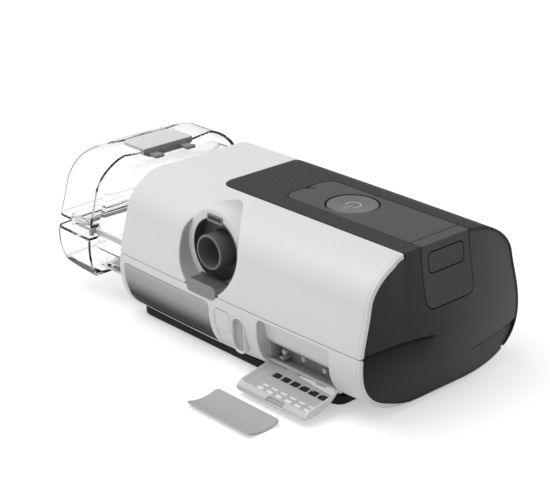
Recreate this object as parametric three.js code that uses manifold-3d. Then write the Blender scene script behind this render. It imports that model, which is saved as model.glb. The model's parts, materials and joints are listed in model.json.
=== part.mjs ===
// A bedside breathing-therapy machine: white housing, dark fascia, clear water tub, air outlet,
// filter bay with its cover open, and the blower and boards inside.
// Millimetres. X runs along the machine from the water tub to the dark end, the rear side with the
// air outlet faces -Y, Z is up, and the origin is under the middle of the housing on the base face.

import * as THREE from 'three';
import { mergeVertices } from 'three/addons/utils/BufferGeometryUtils.js';
import loadManifold from 'manifold-3d';

const wasm = await loadManifold();
wasm.setup();

// Fits shared by all pieces
const fit = 0.3;
const overrun = 4;
const meshTolerance = 0.0001;
const cutTolerance = 0.004;

// Housing
const housingWidth = 138.5;
const housingHeight = 94.5;
const mouthX = -93.3;
const rimX = 121.3;
const rimLean = 1.6;
const rimCurve = 0.9;
const rimSetback = 4.5;
const sideBow = 1.8;
const underDrop = 5.5;
const wall = 2.8;
const edgeRound = 0.7;
const footing = 6;
const halfWidth = housingWidth / 2;

// Half of the cross-section as three cubic curves: lower corner, side, shoulder
const sectionShares = [
  [0.254, 0.036], [0.8, 0.036], [1, 0.181], [1, 0.383], [1, 0.526],
  [0.926, 0.639], [0.893, 0.771], [0.859, 0.908], [0.606, 1], [0.524, 1],
];
const widestZ = sectionShares[3][1] * housingHeight;
const seamRise = 7.8;
const seamZ = widestZ + seamRise;
const lowerCornerSteps = 6;
const sideSteps = 3;
const shoulderSteps = 7;
const stationShares = [0, 0.25, 0.5, 0.75, 1];
const endShares = [0, 1];
const flatPointShare = 0.75;
const bowCentreShare = 0.5;
const dropReachShare = 0.64;
const dropHeightShare = 0.7;
const setbackHalfShare = 0.58;
const setbackBlendShare = 0.18;

// Base tray, feet and screws
const trayStartInset = 5.3;
const trayStartX = mouthX + trayStartInset;
const trayEndInset = 27.3;
const trayEndX = rimX - trayEndInset;
const trayInset = 12.25;
const trayWidth = housingWidth - 2 * trayInset;
const trayCorner = 8;
const trayThickness = 5.7;
const trayChamfer = 1.2;
const footRadius = 6;
const footThickness = 2.3;
const footProud = 0.8;
const footInset = 14;
const screwHeadRadius = 2.9;
const screwHeadHeight = 2;
const screwShankRadius = 1.4;
const screwShankLength = 9;
const screwBossRadius = 4;
const screwInset = 5.5;
const frontScrewInset = 6;
const frontScrewX = trayEndX - frontScrewInset;
const rearScrewX = -14;

// Fascia that wraps the top and the front, and the smooth control strip in it
const fasciaStartX = -43;
const fasciaRearY = -27;
const fasciaCorner = 7;
const fasciaThickness = 1.5;
const fasciaLowZ = 12;
const stripStartX = 0;
const stripRearY = -13;
const stripFrontY = 28;
const stripCorner = 8;
const rimCutBack = 3.8;
const endFlange = 2.2;

// Start button, its switch and the light sensor
const buttonX = 39.7;
const buttonRadius = 16.2;
const buttonTravel = 1;
const buttonDish = 0.8;
const dishMidShare = 0.7;
const buttonStemRadius = 4;
const buttonGap = 0.5;
const switchHeight = 3;
const switchSide = 6;
const sensorX = 3.4;
const sensorRadius = 2.4;

// Display on the front
const displayStartX = 8;
const displayEndInset = 33.3;
const displayEndX = rimX - displayEndInset;
const displayLowZ = 24;
const displayDrop = 23.5;
const displayHighZ = housingHeight - displayDrop;
const displayCorner = 5;
const glassThickness = 1.2;
const windowMargin = 4;
const moduleProud = 1;

// Dark end panel with its smooth tab and the card cover
const endBulge = 5;
const endWall = 2.2;
const endDepth = 9;
const endCentreRise = 3.8;
const endCentreZ = widestZ + endCentreRise;
const endEdgeStep = 0.6;
const endZoneMargin = 2.5;
const endProfileShares = [
  [0, 0.1], [0.13, 0.5], [0.26, 0.92], [0.38, 1], [0.48, 0.72], [0.6, 0.05], [0.82, -0.68], [0.94, -1.12],
  [1, -1.4],
];
const endRingShares = [0.94, 0.8, 0.58, 0.32];
const tabTopLength = 15.5;
const tabTopX = rimX - tabTopLength;
const tabDrop = 37.5;
const tabLowZ = housingHeight - tabDrop;
const tabCorner = 6;
const cardCoverRearY = -7.5;
const cardCoverFrontY = 22.5;
const cardCoverDrop = 5.5;
const cardCoverHeight = 12;
const cardCoverHighZ = housingHeight - cardCoverDrop;
const cardCoverLowZ = cardCoverHighZ - cardCoverHeight;
const cardCoverCorner = 3;
const cardSlotWidth = 25;
const cardSlotHeight = 3;
const cardSocketDepth = 14;
const creaseDepth = 1.3;
const creaseFall = 17;
const rearCreaseY = -8;
const rearCreaseRise = 6.3;
const rearCreaseEndRise = 10.4;
const frontCreaseY = 24;
const frontCreaseDrop = 13.6;
const frontCreaseEndDrop = 8.8;

// Air outlet in the rear side
const outletX = -11.6;
const outletDrop = 27.2;
const outletZ = housingHeight - outletDrop;
const hoodRadius = 26.4;
const hoodFaceDepth = 11.25;
const hoodFaceY = hoodFaceDepth - halfWidth;
const hoodRound = 1.4;
const dishRadius = 26;
const dishTaper = 0.6;
const dishWall = 1.4;
const dishTopRise = 14.7;
const dishTopZ = outletZ + dishTopRise;
const dishFloor = 1.4;
const dishFloorDrop = 5.3;
const dishFloorTopZ = outletZ - dishFloorDrop;
const cavityRadius = 20;
const cavityDepth = 18.25;
const cavityFloorY = cavityDepth - halfWidth;
const cavityFloorWall = 2.2;
const hoodTail = 9.6;
const tubeRadius = 11.2;
const tubeWall = 1.5;
const tubeMouthDepth = 5.6;
const tubeMouthY = tubeMouthDepth - halfWidth;
const plugWidth = 14.5;
const plugHeight = 5.6;
const plugRise = 17.3;
const plugLowZ = outletZ + plugRise;
const plugDepth = 6;
const plugSlotWidth = 10;
const plugSlotHeight = 2;
const plugCorner = 1;
const clipDrop = 17.7;
const clipTopZ = outletZ - clipDrop;
const clipWidth = 26.4;
const clipProud = 0.8;
const clipCorner = 3.5;
const clipBackDepth = 9.25;
const clipBackY = clipBackDepth - halfWidth;

// Plates and the power inlet on the rear side
const plateThickness = 0.7;
const ratingStartInset = 5.1;
const ratingStartX = mouthX + ratingStartInset;
const ratingEndX = -4.8;
const ratingLowZ = 8.5;
const ratingDrop = 5.6;
const ratingHighZ = seamZ - ratingDrop;
const plateCorner = 2;
const noticeStartX = 1.3;
const noticeEndX = 14.4;
const noticeLowZ = 13;
const noticeDrop = 6.6;
const noticeHighZ = seamZ - noticeDrop;
const plateGap = 1.5;
const inletX = 22.4;
const inletDrop = 18;
const inletZ = seamZ - inletDrop;
const inletWidth = 11.6;
const inletHeight = 24;
const inletRim = 1.5;
const inletProud = 0.5;
const inletDepth = 12;
const inletSocketWall = 1.2;
const inletSetback = 4.2;
const inletPinRadius = 1.1;
const inletPinLength = 3;
const inletPinPitch = 6;

// Filter bay and its cover
const bayStartX = 39;
const bayEndInset = 23.8;
const bayEndX = rimX - bayEndInset;
const bayDrop = 2.4;
const bayTopZ = seamZ - bayDrop;
const bayCorner = 3;
const bayWall = 1.6;
const bayBackDepth = 19.25;
const bayBackY = bayBackDepth - halfWidth;
const bayLedgeDepth = 8.75;
const bayLedgeY = bayLedgeDepth - halfWidth;
const bayLedgeDrop = 13.6;
const bayLedgeZ = bayTopZ - bayLedgeDrop;
const bayLipDepth = 5.25;
const bayLipY = bayLipDepth - halfWidth;
const bayFloorZ = 11.5;
const postRadius = 1.6;
const postTipDepth = 10.05;
const postTipY = postTipDepth - halfWidth;
const postShares = [[0.19, 0.32], [0.15, 0.14], [0.47, 0.36], [0.77, 0.32]];
const coverSkin = 1.5;
const coverHingeRise = 1.7;
const coverOpenAngle = Math.PI / 2;
const coverPlate = 2.4;
const coverClearance = 0.6;
const coverPlateSetback = 3.4;
const coverSlotCount = 6;
const coverSlotLength = 5.2;
const coverSlotWidth = 3;
const coverEndShare = 0.3;
const coverPocketRows = 2;
const coverPocketDepth = 1.5;
const coverPocketPitch = 6.4;
const coverFirstRow = 7;
const coverGripWidth = 16;
const coverGripDepth = 3;
const coverTongueWidth = 6;
const coverTongueReach = 2.2;
const barrelRadius = 2.6;
const hingePinRadius = 0.9;
const hingePinLength = 3.4;

// Filter pad that lies in front of the open cover
const padLength = 54;
const padWidth = 24;
const padThickness = 1.2;
const padArch = 2.6;
const padShift = 10.65;
const padCentreX = (bayStartX + bayEndX) / 2 - padShift;
const padReach = 37.55;
const padCentreY = -halfWidth - padReach;
const padTurn = 0.02;
const padSteps = 12;
const padCorner = 2.5;

// Water tub, drawn out of its bay
const tubOut = 32.6;
const tubEndLength = 36.4;
const tubInsertLength = 49.2;
const tubEndBulge = 4;
const tubWall = 2;
const tubInset = 6.8;
const tubSeamDrop = 0.5;
const tubGroove = 7;
const tubBaseTopZ = seamZ - tubSeamDrop;
const tubLidLowZ = tubBaseTopZ + tubGroove;
const tubEndFloorZ = 16;
const tubFloorRise = 5.5;
const tubFloorShares = [[1, 1], [0.75, 0.55], [0.5, 0.24], [0, 0]];
const tubInsertFloorZ = 21.5;
const tubEndCorner = 12;
const tubRimHeight = 1.1;
const tubSkirtDrop = 3;
const sealThickness = 2.3;
const tubRoundShares = [[0, 1], [0.3, 0.5], [0.65, 0.14], [1, 0]];
const tubCapShares = [0.4, 0.8];
const tubEndRound = 3.2;
const portRadius = 10;
const portY = 18;
const portMidDrop = 5.5;
const portZ = (tubLidLowZ + housingHeight) / 2 - portMidDrop;
const portSealWall = 1.6;
const portSealLength = 3;
const railHeight = 2;
const railProud = 1;
const railDrop = 8.9;
const railZ = tubBaseTopZ - railDrop;
const gripWidth = 42;
const gripLength = 25;
const gripThickness = 2;
const gripLip = 4.6;
const gripCorner = 6;
const gripTravel = 1;
const latchWidth = 7;
const latchReach = 8;
const latchThickness = 1.6;
const latchNib = 0.7;
const latchSpacing = 27;
const latchSlotLength = 9;
const tubPlateThickness = 2;
const tubPlateMargin = 4;
const catchLength = 9;
const catchWidth = 2.2;
const catchHeight = 3.2;
const catchStemShares = [0.6, 0.3];

// Bay for the tub, with its hot plate
const linerWall = 1.6;
const linerGap = 0.7;
const linerDepth = 49.3;
const linerBackX = mouthX + linerDepth;
const linerLowZ = 8;
const linerPortStep = 1;
const hotPlateMargin = 12;
const hotPlateThickness = 2.3;
const hotPlateStartX = mouthX + trayStartInset;

// Blower, ducts, boards and foam
const blowerInset = 66.3;
const blowerX = rimX - blowerInset;
const blowerY = 14;
const blowerRadius = 36;
const blowerWall = 2;
const blowerLowZ = 14;
const blowerSplitZ = 32;
const blowerHighZ = 50;
const blowerInletRadius = 13;
const blowerPostRadius = 4;
const blowerPostCircle = 28;
const motorRadius = 14;
const motorLowGap = 2.3;
const motorHeight = 13;
const shaftRadius = 2;
const shaftLength = 22;
const impellerRadius = 30;
const impellerPlate = 1.6;
const impellerVaneHeight = 7;
const impellerVaneThickness = 1.2;
const impellerVaneCount = 9;
const impellerHubRadius = 6;
const impellerEyeRadius = 12;
const impellerSweep = 0.9;
const sweepPower = 1.4;
const vaneSteps = 4;
const ductRadius = 9;
const ductWall = 1.4;
const ductSteps = 7;
const boardThickness = 1.6;
const boardStartX = 16;
const boardEndInset = 15.3;
const boardEndX = rimX - boardEndInset;
const boardRearY = -32;
const boardFrontY = 40;
const boardDrop = 18.5;
const boardZ = housingHeight - boardDrop;
const boardBossRadius = 3;
const boardBossInset = 5;
const foamStartX = 42;
const foamEndInset = 3.5;
const foamEndX = bayEndX - foamEndInset;
const foamGap = 2;
const foamRearY = bayBackY + foamGap;
const foamFrontY = blowerY - blowerRadius - foamGap;
const foamLowZ = 12;
const foamDrop = 3.6;
const foamTopZ = bayTopZ - foamDrop;
const foamRibWidth = 3;
const foamRibLength = 5;
const powerBoardStartX = 8;
const powerBoardEndX = 36;
const powerBoardDrop = 4;
const powerBoardTopZ = seamZ - powerBoardDrop;

const round = { corner: 3, small: 12, mid: 20, large: 32 };

// Solids

// The closed geometry as a solid that can be joined and cut
function solid(geometry) {
  const bare = geometry.clone();
  bare.deleteAttribute('normal');
  bare.deleteAttribute('uv');
  const merged = mergeVertices(bare, meshTolerance);
  const vertProperties = new Float32Array(merged.attributes.position.array);
  const triVerts = new Uint32Array(merged.index.array);
  const mesh = new wasm.Mesh({ numProp: 3, vertProperties, triVerts });
  mesh.tolerance = cutTolerance;
  return new wasm.Manifold(mesh);
}

function geometryOf(body) {
  const { vertProperties, triVerts } = body.getMesh();
  const geometry = new THREE.BufferGeometry();
  geometry.setAttribute('position', new THREE.Float32BufferAttribute(vertProperties, 3));
  geometry.setIndex(new THREE.Uint32BufferAttribute(triVerts, 1));
  return geometry;
}

const join = (bodies) => bodies.reduce((sum, body) => sum.add(body));
const cut = (body, tools) => tools.reduce((rest, tool) => rest.subtract(tool), body);

function block([x0, x1], [y0, y1], [z0, z1]) {
  const box = new THREE.BoxGeometry(x1 - x0, y1 - y0, z1 - z0);
  return solid(box.translate((x0 + x1) / 2, (y0 + y1) / 2, (z0 + z1) / 2));
}

// A flat outline carried straight along one axis: outlines for X are drawn in (y, z), for Y in (x, z)
function prism(axis, shape, from, to, steps = round.corner) {
  const options = { depth: to - from, bevelEnabled: false, curveSegments: steps };
  const geometry = new THREE.ExtrudeGeometry(shape, options);
  if (axis === 'x') {
    const toX = new THREE.Matrix4().makeBasis(
      new THREE.Vector3(0, 1, 0), new THREE.Vector3(0, 0, 1), new THREE.Vector3(1, 0, 0));
    return solid(geometry.applyMatrix4(toX).translate(from, 0, 0));
  }
  if (axis === 'y') return solid(geometry.rotateX(Math.PI / 2).translate(0, to, 0));
  return solid(geometry.translate(0, 0, from));
}

function disc(x, y, radius, sides = round.small) {
  const points = [];
  for (let i = 0; i < sides; i += 1) {
    const turn = (i * 2 * Math.PI) / sides;
    points.push([x + radius * Math.cos(turn), y + radius * Math.sin(turn)]);
  }
  return polygon(points);
}

// The rectangle [x0, x1] by [y0, y1] with rounded corners, grown by a margin on every side
function rounded([x0, x1], [y0, y1], corner, margin = 0) {
  const [left, right, low, high] = [x0 - margin, x1 + margin, y0 - margin, y1 + margin];
  const r = Math.min(corner + margin, (right - left) / 2, (high - low) / 2);
  const shape = new THREE.Shape();
  shape.moveTo(left + r, low);
  shape.absarc(right - r, low + r, r, -Math.PI / 2, 0);
  shape.absarc(right - r, high - r, r, 0, Math.PI / 2);
  shape.absarc(left + r, high - r, r, Math.PI / 2, Math.PI);
  shape.absarc(left + r, low + r, r, Math.PI, Math.PI * 1.5);
  return shape;
}

function polygon(points) {
  return new THREE.Shape(points.map(([x, y]) => new THREE.Vector2(x, y)));
}

// A profile of [radius, height] points turned about an axis through the point given
function turned(axis, profile, [x, y, z], sides = round.large) {
  const points = profile.map(([radius, height]) => new THREE.Vector2(radius, height));
  const geometry = new THREE.LatheGeometry([...points, points[0]], sides);
  if (axis === 'z') geometry.rotateX(Math.PI / 2);
  return solid(geometry.translate(x, y, z));
}

// A closed skin through rings of equal count, with a fan over each end
function loft(rings) {
  const count = rings[0].length;
  const positions = rings.flat().flatMap((point) => point.toArray());
  const centres = [rings[0], rings[rings.length - 1]].map((ring) =>
    ring.reduce((sum, point) => sum.add(point), new THREE.Vector3()).divideScalar(count));
  centres.forEach((centre) => positions.push(...centre.toArray()));
  const index = [];
  const startCentre = rings.length * count;
  for (let i = 0; i < count; i += 1) {
    const next = (i + 1) % count;
    for (let k = 0; k + 1 < rings.length; k += 1) {
      const [low, high] = [k * count, (k + 1) * count];
      index.push(low + i, low + next, high + next, low + i, high + next, high + i);
    }
    const last = (rings.length - 1) * count;
    index.push(startCentre, next, i, startCentre + 1, last + i, last + next);
  }
  const geometry = new THREE.BufferGeometry();
  geometry.setAttribute('position', new THREE.Float32BufferAttribute(positions, 3));
  geometry.setIndex(index);
  return solid(geometry);
}

// Housing form

const smooth = (share) => THREE.MathUtils.smoothstep(share, 0, 1);

function sectionCurves() {
  const at = sectionShares.map(([w, h]) => new THREE.Vector2(w * halfWidth, h * housingHeight));
  return [[0, lowerCornerSteps], [3, sideSteps], [6, shoulderSteps]].map(([first, steps]) => ({
    curve: new THREE.CubicBezierCurve(at[first], at[first + 1], at[first + 2], at[first + 3]),
    steps,
  }));
}

// The cross-section as [y, z] points from the underside round the front and back, drawn in by an inset,
// which is one value or a function of the point's place
function section(inset) {
  const insetAt = typeof inset === 'function' ? inset : () => inset;
  const place = ([y, z, alongY, alongZ]) => {
    const by = insetAt(y, z);
    return [y - alongZ * by, z + alongY * by];
  };
  const half = [];
  sectionCurves().forEach(({ curve, steps }, part) => {
    for (let i = part === 0 ? 0 : 1; i <= steps; i += 1) {
      const point = curve.getPoint(i / steps);
      const along = curve.getTangent(i / steps);
      half.push([point.x, point.y, along.x, along.y]);
    }
  });
  const mirrored = half.map(([y, z, alongY, alongZ]) => [-y, z, alongY, -alongZ]).reverse();
  const low = [0, half[0][1], 1, 0];
  const [edgeY, highZ] = half[half.length - 1];
  const high = [flatPointShare, 0, -flatPointShare].map((share) => [edgeY * share, highZ, -1, 0]);
  return [low, ...half, ...high, ...mirrored].map(place);
}

const rimAt = (y, z) => {
  const rise = (2 * z) / housingHeight - 1;
  const setback = smooth((setbackHalfShare - Math.abs(y) / halfWidth) / setbackBlendShare);
  return rimX - rimLean * rise - rimCurve * rise * rise - (rise > 0 ? rimSetback * setback : 0);
};
const mouthAt = () => mouthX;
const shifted = (edge, by) => (y, z) => edge(y, z) + by;

// Long sides swell towards mid length, and the underside climbs towards the dark end
function swell(x) {
  const centre = mouthX + (rimX - mouthX) * bowCentreShare;
  const reach = (x - centre) / (rimX - centre);
  return (sideBow / halfWidth) * Math.max(0, 1 - reach * reach);
}
function sink(x, z) {
  const length = rimX - mouthX;
  const along = smooth((rimX - x) / length / dropReachShare);
  return underDrop * along * smooth((widestZ - z) / (widestZ * dropHeightShare));
}

function ring(edge, inset) {
  return section(inset).map(([y, z]) => {
    const x = edge(y, z);
    return new THREE.Vector3(x, y * (1 + swell(x)), z - sink(x, z));
  });
}

// The housing's outer form drawn in by an inset, from one edge surface to another, with its end edges eased
function form(inset, from, to, ease = 0, shares = stationShares) {
  const between = (share) => (y, z) => from(y, z) + ease + (to(y, z) - from(y, z) - 2 * ease) * share;
  const rings = shares.map((share) => ring(between(share), inset));
  if (ease === 0) return loft(rings);
  return loft([ring(from, inset + ease), ...rings, ring(to, inset + ease)]);
}

const across = [-housingWidth, housingWidth];
const overTop = housingHeight + overrun;
const whole = (inset) => form(inset, shifted(mouthAt, -overrun), shifted(rimAt, overrun));
const layer = (outer, inner) => whole(outer).subtract(whole(inner));
const above = (z) => block([-2 * housingWidth, 2 * housingWidth], across, [z, 2 * housingHeight]);
const below = (z) => block([-2 * housingWidth, 2 * housingWidth], across, [-housingHeight, z]);

// Where the rear side lies at a height, on the straight run between the two nearest ring points
function sideY(x, z) {
  const points = ring(() => x, 0).filter((point) => point.y < 0);
  const last = points.findIndex((point, i) => i > 0 && point.z <= z && points[i - 1].z >= z);
  const [high, low] = [points[last - 1], points[last]];
  return THREE.MathUtils.lerp(low.y, high.y, (z - low.z) / (high.z - low.z));
}

// Fascia and strip outlines in plan

const fasciaZone = (margin) => prism('z',
  rounded([fasciaStartX, rimX + housingHeight], [fasciaRearY, housingWidth], fasciaCorner, margin),
  fasciaLowZ - margin, overTop);
const stripZone = (margin) => prism('z',
  rounded([stripStartX, rimX + housingHeight], [stripRearY, stripFrontY], stripCorner, margin),
  housingHeight / 2, overTop);
const buttonY = (stripRearY + stripFrontY) / 2;

// Outlet cutting tools

const outletAt = [outletX, 0, outletZ];
const dishTool = (margin, reach = 0) => turned('y', [
  [0, -housingWidth], [dishRadius + dishTaper - margin, -housingWidth],
  [dishRadius - margin, hoodFaceY - margin + reach], [0, hoodFaceY - margin + reach],
], outletAt);

// White casings

function hood() {
  const drum = turned('y', [
    [0, hoodFaceY], [hoodRadius - hoodRound, hoodFaceY], [hoodRadius, hoodFaceY + hoodRound],
    [hoodRadius, cavityFloorY + hoodTail], [0, cavityFloorY + hoodTail],
  ], outletAt);
  const hollow = turned('y', [
    [0, cavityFloorY + cavityFloorWall], [cavityRadius, cavityFloorY + cavityFloorWall],
    [cavityRadius, 0], [0, 0],
  ], outletAt);
  return drum.subtract(hollow).intersect(above(seamZ + fit / 2));
}

function plugShape(margin) {
  return rounded([outletX - plugWidth / 2, outletX + plugWidth / 2],
    [plugLowZ, plugLowZ + plugHeight], plugCorner, margin);
}

function clipShape(margin) {
  return rounded([outletX - clipWidth / 2, outletX + clipWidth / 2],
    [outletZ - dishRadius, clipTopZ], clipCorner, margin);
}

function casing() {
  const shell = form(0, mouthAt, rimAt, edgeRound).subtract(whole(wall));
  const bosses = [];
  for (const x of [boardStartX + boardBossInset, boardEndX - boardBossInset]) {
    for (const y of [boardRearY + boardBossInset, boardFrontY - boardBossInset]) {
      const low = boardZ + boardThickness + fit;
      bosses.push(prism('z', disc(x, y, boardBossRadius), low, housingHeight - wall + fit));
    }
  }
  const pocket = layer(-overrun, fasciaThickness + fit).intersect(fasciaZone(fit));
  const rimRelief = form(-fit, shifted(rimAt, -rimCutBack), shifted(rimAt, overrun))
    .intersect(fasciaZone(fit));
  const button = prism('z', disc(buttonX, buttonY, buttonRadius + buttonGap, round.large),
    housingHeight - wall - overrun, overTop);
  const window = prism('y', rounded([displayStartX + windowMargin, displayEndX - windowMargin],
    [displayLowZ + windowMargin, displayHighZ - windowMargin], displayCorner), 0, housingWidth);
  const sensor = prism('z', disc(sensorX, buttonY, sensorRadius + fit),
    housingHeight - wall - overrun, overTop);
  const cavity = turned('y', [[0, -housingWidth], [cavityRadius, -housingWidth],
    [cavityRadius, cavityFloorY], [0, cavityFloorY]], outletAt);
  const tubeHole = prism('y', disc(outletX, outletZ, tubeRadius + fit, round.large), -housingWidth, 0);
  const plug = prism('y', plugShape(fit), -housingWidth, hoodFaceY + plugDepth + fit);
  const clip = prism('y', clipShape(fit), -housingWidth, clipBackY + fit);
  return cut(join([shell, hood(), ...bosses]),
    [pocket, rimRelief, button, window, sensor, dishTool(0), cavity, tubeHole, plug, clip]);
}

function plateZone(x0, x1, z0, z1, margin) {
  return prism('y', rounded([x0, x1], [z0, z1], plateCorner, margin), -housingWidth, 0);
}
const ratingZone = (margin) => plateZone(ratingStartX, ratingEndX, ratingLowZ, ratingHighZ, margin);
const noticeZone = (margin) => plateZone(noticeStartX, noticeEndX, noticeLowZ, noticeHighZ, margin);

function inletShape(margin) {
  return rounded([inletX - inletWidth / 2, inletX + inletWidth / 2],
    [inletZ - inletHeight / 2, inletZ + inletHeight / 2], inletWidth / 2, margin);
}

const bayZone = (margin) => prism('y', rounded([bayStartX, bayEndX], [bayFloorZ, bayTopZ], bayCorner, margin),
  -housingWidth, 0);

function screwPlaces() {
  const y = trayWidth / 2 - screwInset;
  return [[rearScrewX, -y], [rearScrewX, y], [frontScrewX, -y], [frontScrewX, y]];
}

function lowerCasing(both) {
  const screwBosses = screwPlaces().flatMap(([x, y]) => {
    const side = Math.sign(y);
    const reach = [Math.abs(y), halfWidth].map((value) => value * side).sort((a, b) => a - b);
    const top = footing + screwShankLength + screwBossRadius;
    return [
      prism('z', disc(x, y, screwBossRadius), footing, top),
      block([x - screwBossRadius, x + screwBossRadius], reach, [footing, top]),
    ];
  });
  const held = join(screwBosses).intersect(whole(wall / 2));
  const bores = screwPlaces().map(([x, y]) =>
    prism('z', disc(x, y, screwShankRadius + fit), 0, footing + screwShankLength + fit));
  const plates = layer(-overrun, plateThickness + fit).intersect(ratingZone(fit).add(noticeZone(fit)));
  const inlet = prism('y', inletShape(fit), -housingWidth, 0);
  const fasciaFoot = layer(-overrun, fasciaThickness + fit).intersect(fasciaZone(fit));
  const tools = [...bores, plates, inlet, bayZone(fit), barrel(fit), hingeBore(fit)];
  return cut(both.add(held.subtract(fasciaFoot)), tools)
    .intersect(below(seamZ - fit / 2)).intersect(aroundTray());
}

const trayOutline = (margin) => rounded([trayStartX, trayEndX], [-trayWidth / 2, trayWidth / 2],
  trayCorner, margin);

// All that lies above the tray's level, and the floor beyond its end where the underside has risen
function aroundTray() {
  const beyond = block([trayEndX - trayCorner, 2 * rimX], across, [0, footing + fit]);
  return above(footing).add(beyond.subtract(prism('z', trayOutline(fit), -overrun, footing)));
}

// Base tray

function trayBody() {
  const foot = new THREE.ExtrudeGeometry(trayOutline(-trayChamfer), {
    depth: trayThickness, bevelEnabled: true, bevelThickness: trayChamfer, bevelSize: trayChamfer,
    bevelSegments: 1, bevelOffset: 0, curveSegments: round.corner,
  });
  const slab = solid(foot.translate(0, 0, trayChamfer)).intersect(below(trayThickness));
  const posts = blowerPosts().map(([x, y]) =>
    prism('z', disc(x, y, blowerPostRadius), trayThickness - fit, blowerLowZ - fit));
  const foamRibs = [foamStartX + foamRibWidth, foamEndX - 2 * foamRibWidth].map((x) =>
    block([x, x + foamRibWidth], [foamFrontY - foamRibLength, foamFrontY],
      [trayThickness - fit, foamLowZ - fit]));
  const wells = footPlaces().map(([x, y]) =>
    prism('z', disc(x, y, footRadius + fit, round.mid), -overrun, footThickness - footProud + fit));
  const screws = screwPlaces().flatMap(([x, y]) => [
    prism('z', disc(x, y, screwHeadRadius + fit), -overrun, screwHeadHeight + 2 * fit),
    prism('z', disc(x, y, screwShankRadius + fit), -overrun, trayThickness + overrun),
  ]);
  return cut(join([slab, ...posts, ...foamRibs]), [...wells, ...screws]);
}

function footPlaces() {
  const y = trayWidth / 2 - footInset;
  return [[trayStartX + footInset, -y], [trayStartX + footInset, y], [trayEndX - footInset, -y],
    [trayEndX - footInset, y]];
}

function blowerPosts() {
  return [0, 1, 2].map((i) => {
    const turn = (i * 2 * Math.PI) / 3;
    return [blowerX + blowerPostCircle * Math.cos(turn), blowerY + blowerPostCircle * Math.sin(turn)];
  });
}

const foot = ([x, y]) => prism('z', disc(x, y, footRadius, round.mid), -footProud, footThickness - footProud);

function screw([x, y]) {
  const head = prism('z', disc(x, y, screwHeadRadius), fit, fit + screwHeadHeight);
  const shank = prism('z', disc(x, y, screwShankRadius), screwHeadHeight, screwHeadHeight + screwShankLength);
  return head.add(shank);
}

// Fascia, strip, button, display

function fascia() {
  const skin = layer(0, fasciaThickness).intersect(fasciaZone(0));
  const trimmed = skin.intersect(form(-overrun, mouthAt, rimAt));
  const display = prism('y',
    rounded([displayStartX, displayEndX], [displayLowZ, displayHighZ], displayCorner, fit), 0, housingWidth);
  return cut(trimmed, [stripZone(fit), display]);
}

function controlStrip() {
  const skin = layer(0, fasciaThickness).intersect(stripZone(0))
    .intersect(block([stripStartX, tabTopX - fit], across, [0, 2 * housingHeight]));
  const button = prism('z', disc(buttonX, buttonY, buttonRadius + buttonGap, round.large), 0, overTop);
  const sensor = prism('z', disc(sensorX, buttonY, sensorRadius + fit), 0, overTop);
  return cut(skin, [button, sensor]);
}

function startButton() {
  const low = housingHeight - fasciaThickness - buttonTravel;
  return turned('z', [
    [0, boardZ + boardThickness + switchHeight + buttonTravel + 2 * fit],
    [buttonStemRadius, boardZ + boardThickness + switchHeight + buttonTravel + 2 * fit],
    [buttonStemRadius, low], [buttonRadius, low], [buttonRadius, housingHeight - edgeRound / 2],
    [buttonRadius - edgeRound, housingHeight], [buttonRadius / 2, housingHeight - buttonDish * dishMidShare],
    [0, housingHeight - buttonDish],
  ], [buttonX, buttonY, 0]);
}

const buttonSwitch = () => block([buttonX - switchSide / 2, buttonX + switchSide / 2],
  [buttonY - switchSide / 2, buttonY + switchSide / 2],
  [boardZ + boardThickness + fit, boardZ + boardThickness + switchHeight]);

const sensorWindow = () => prism('z', disc(sensorX, buttonY, sensorRadius),
  housingHeight - wall, housingHeight - fit);

function displayLayer(outer, inner, margin) {
  return layer(outer, inner).intersect(prism('y', rounded([displayStartX - margin, displayEndX + margin],
    [displayLowZ - margin, displayHighZ + margin], displayCorner), 0, housingWidth));
}

// Dark end

function endCentreX(z) {
  const share = z / housingHeight;
  const next = Math.max(1, endProfileShares.findIndex(([at]) => at >= share));
  const [[lowAt, low], [highAt, high]] = [endProfileShares[next - 1], endProfileShares[next]];
  return rimX + endBulge * (low + (high - low) * ((share - lowAt) / (highAt - lowAt)));
}

// The end's outer surface on the line from its middle to a rim point, the given share of the way out
function endX([rimY, rimZ], z, share) {
  const edge = rimAt(rimY, rimZ) - endEdgeStep;
  return edge * share * share + endCentreX(z) * (1 - share * share);
}

// Where the end panel meets the fascia it is wider than where it sits inside the white rim
const meetsFascia = (y, z) => y > fasciaRearY + endZoneMargin && z > fasciaLowZ + endZoneMargin;
const endInset = (y, z) => (meetsFascia(y, z) ? fasciaThickness + fit : wall + fit);

// The end as a closed body: its outline at the rim by an inset, its outer face moved back by a depth
function endForm(inset, back, depth) {
  const narrow = section(wall + fit + back);
  const outline = section(inset);
  const at = (points, deep) => points.map(([y, z]) => new THREE.Vector3(rimAt(y, z) - deep, y, z));
  const rings = endRingShares.map((share) => outline.map(([y, z]) => {
    const pz = endCentreZ + (z - endCentreZ) * share;
    return new THREE.Vector3(endX([y, z], pz, share) - back, y * share, pz);
  }));
  const edge = at(outline, 2 * endEdgeStep + back);
  if (back > 0) return loft([at(narrow, depth), at(narrow, endFlange + back), ...rings]);
  return loft([at(narrow, depth), at(narrow, endFlange), at(outline, endFlange), edge, ...rings]);
}

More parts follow.
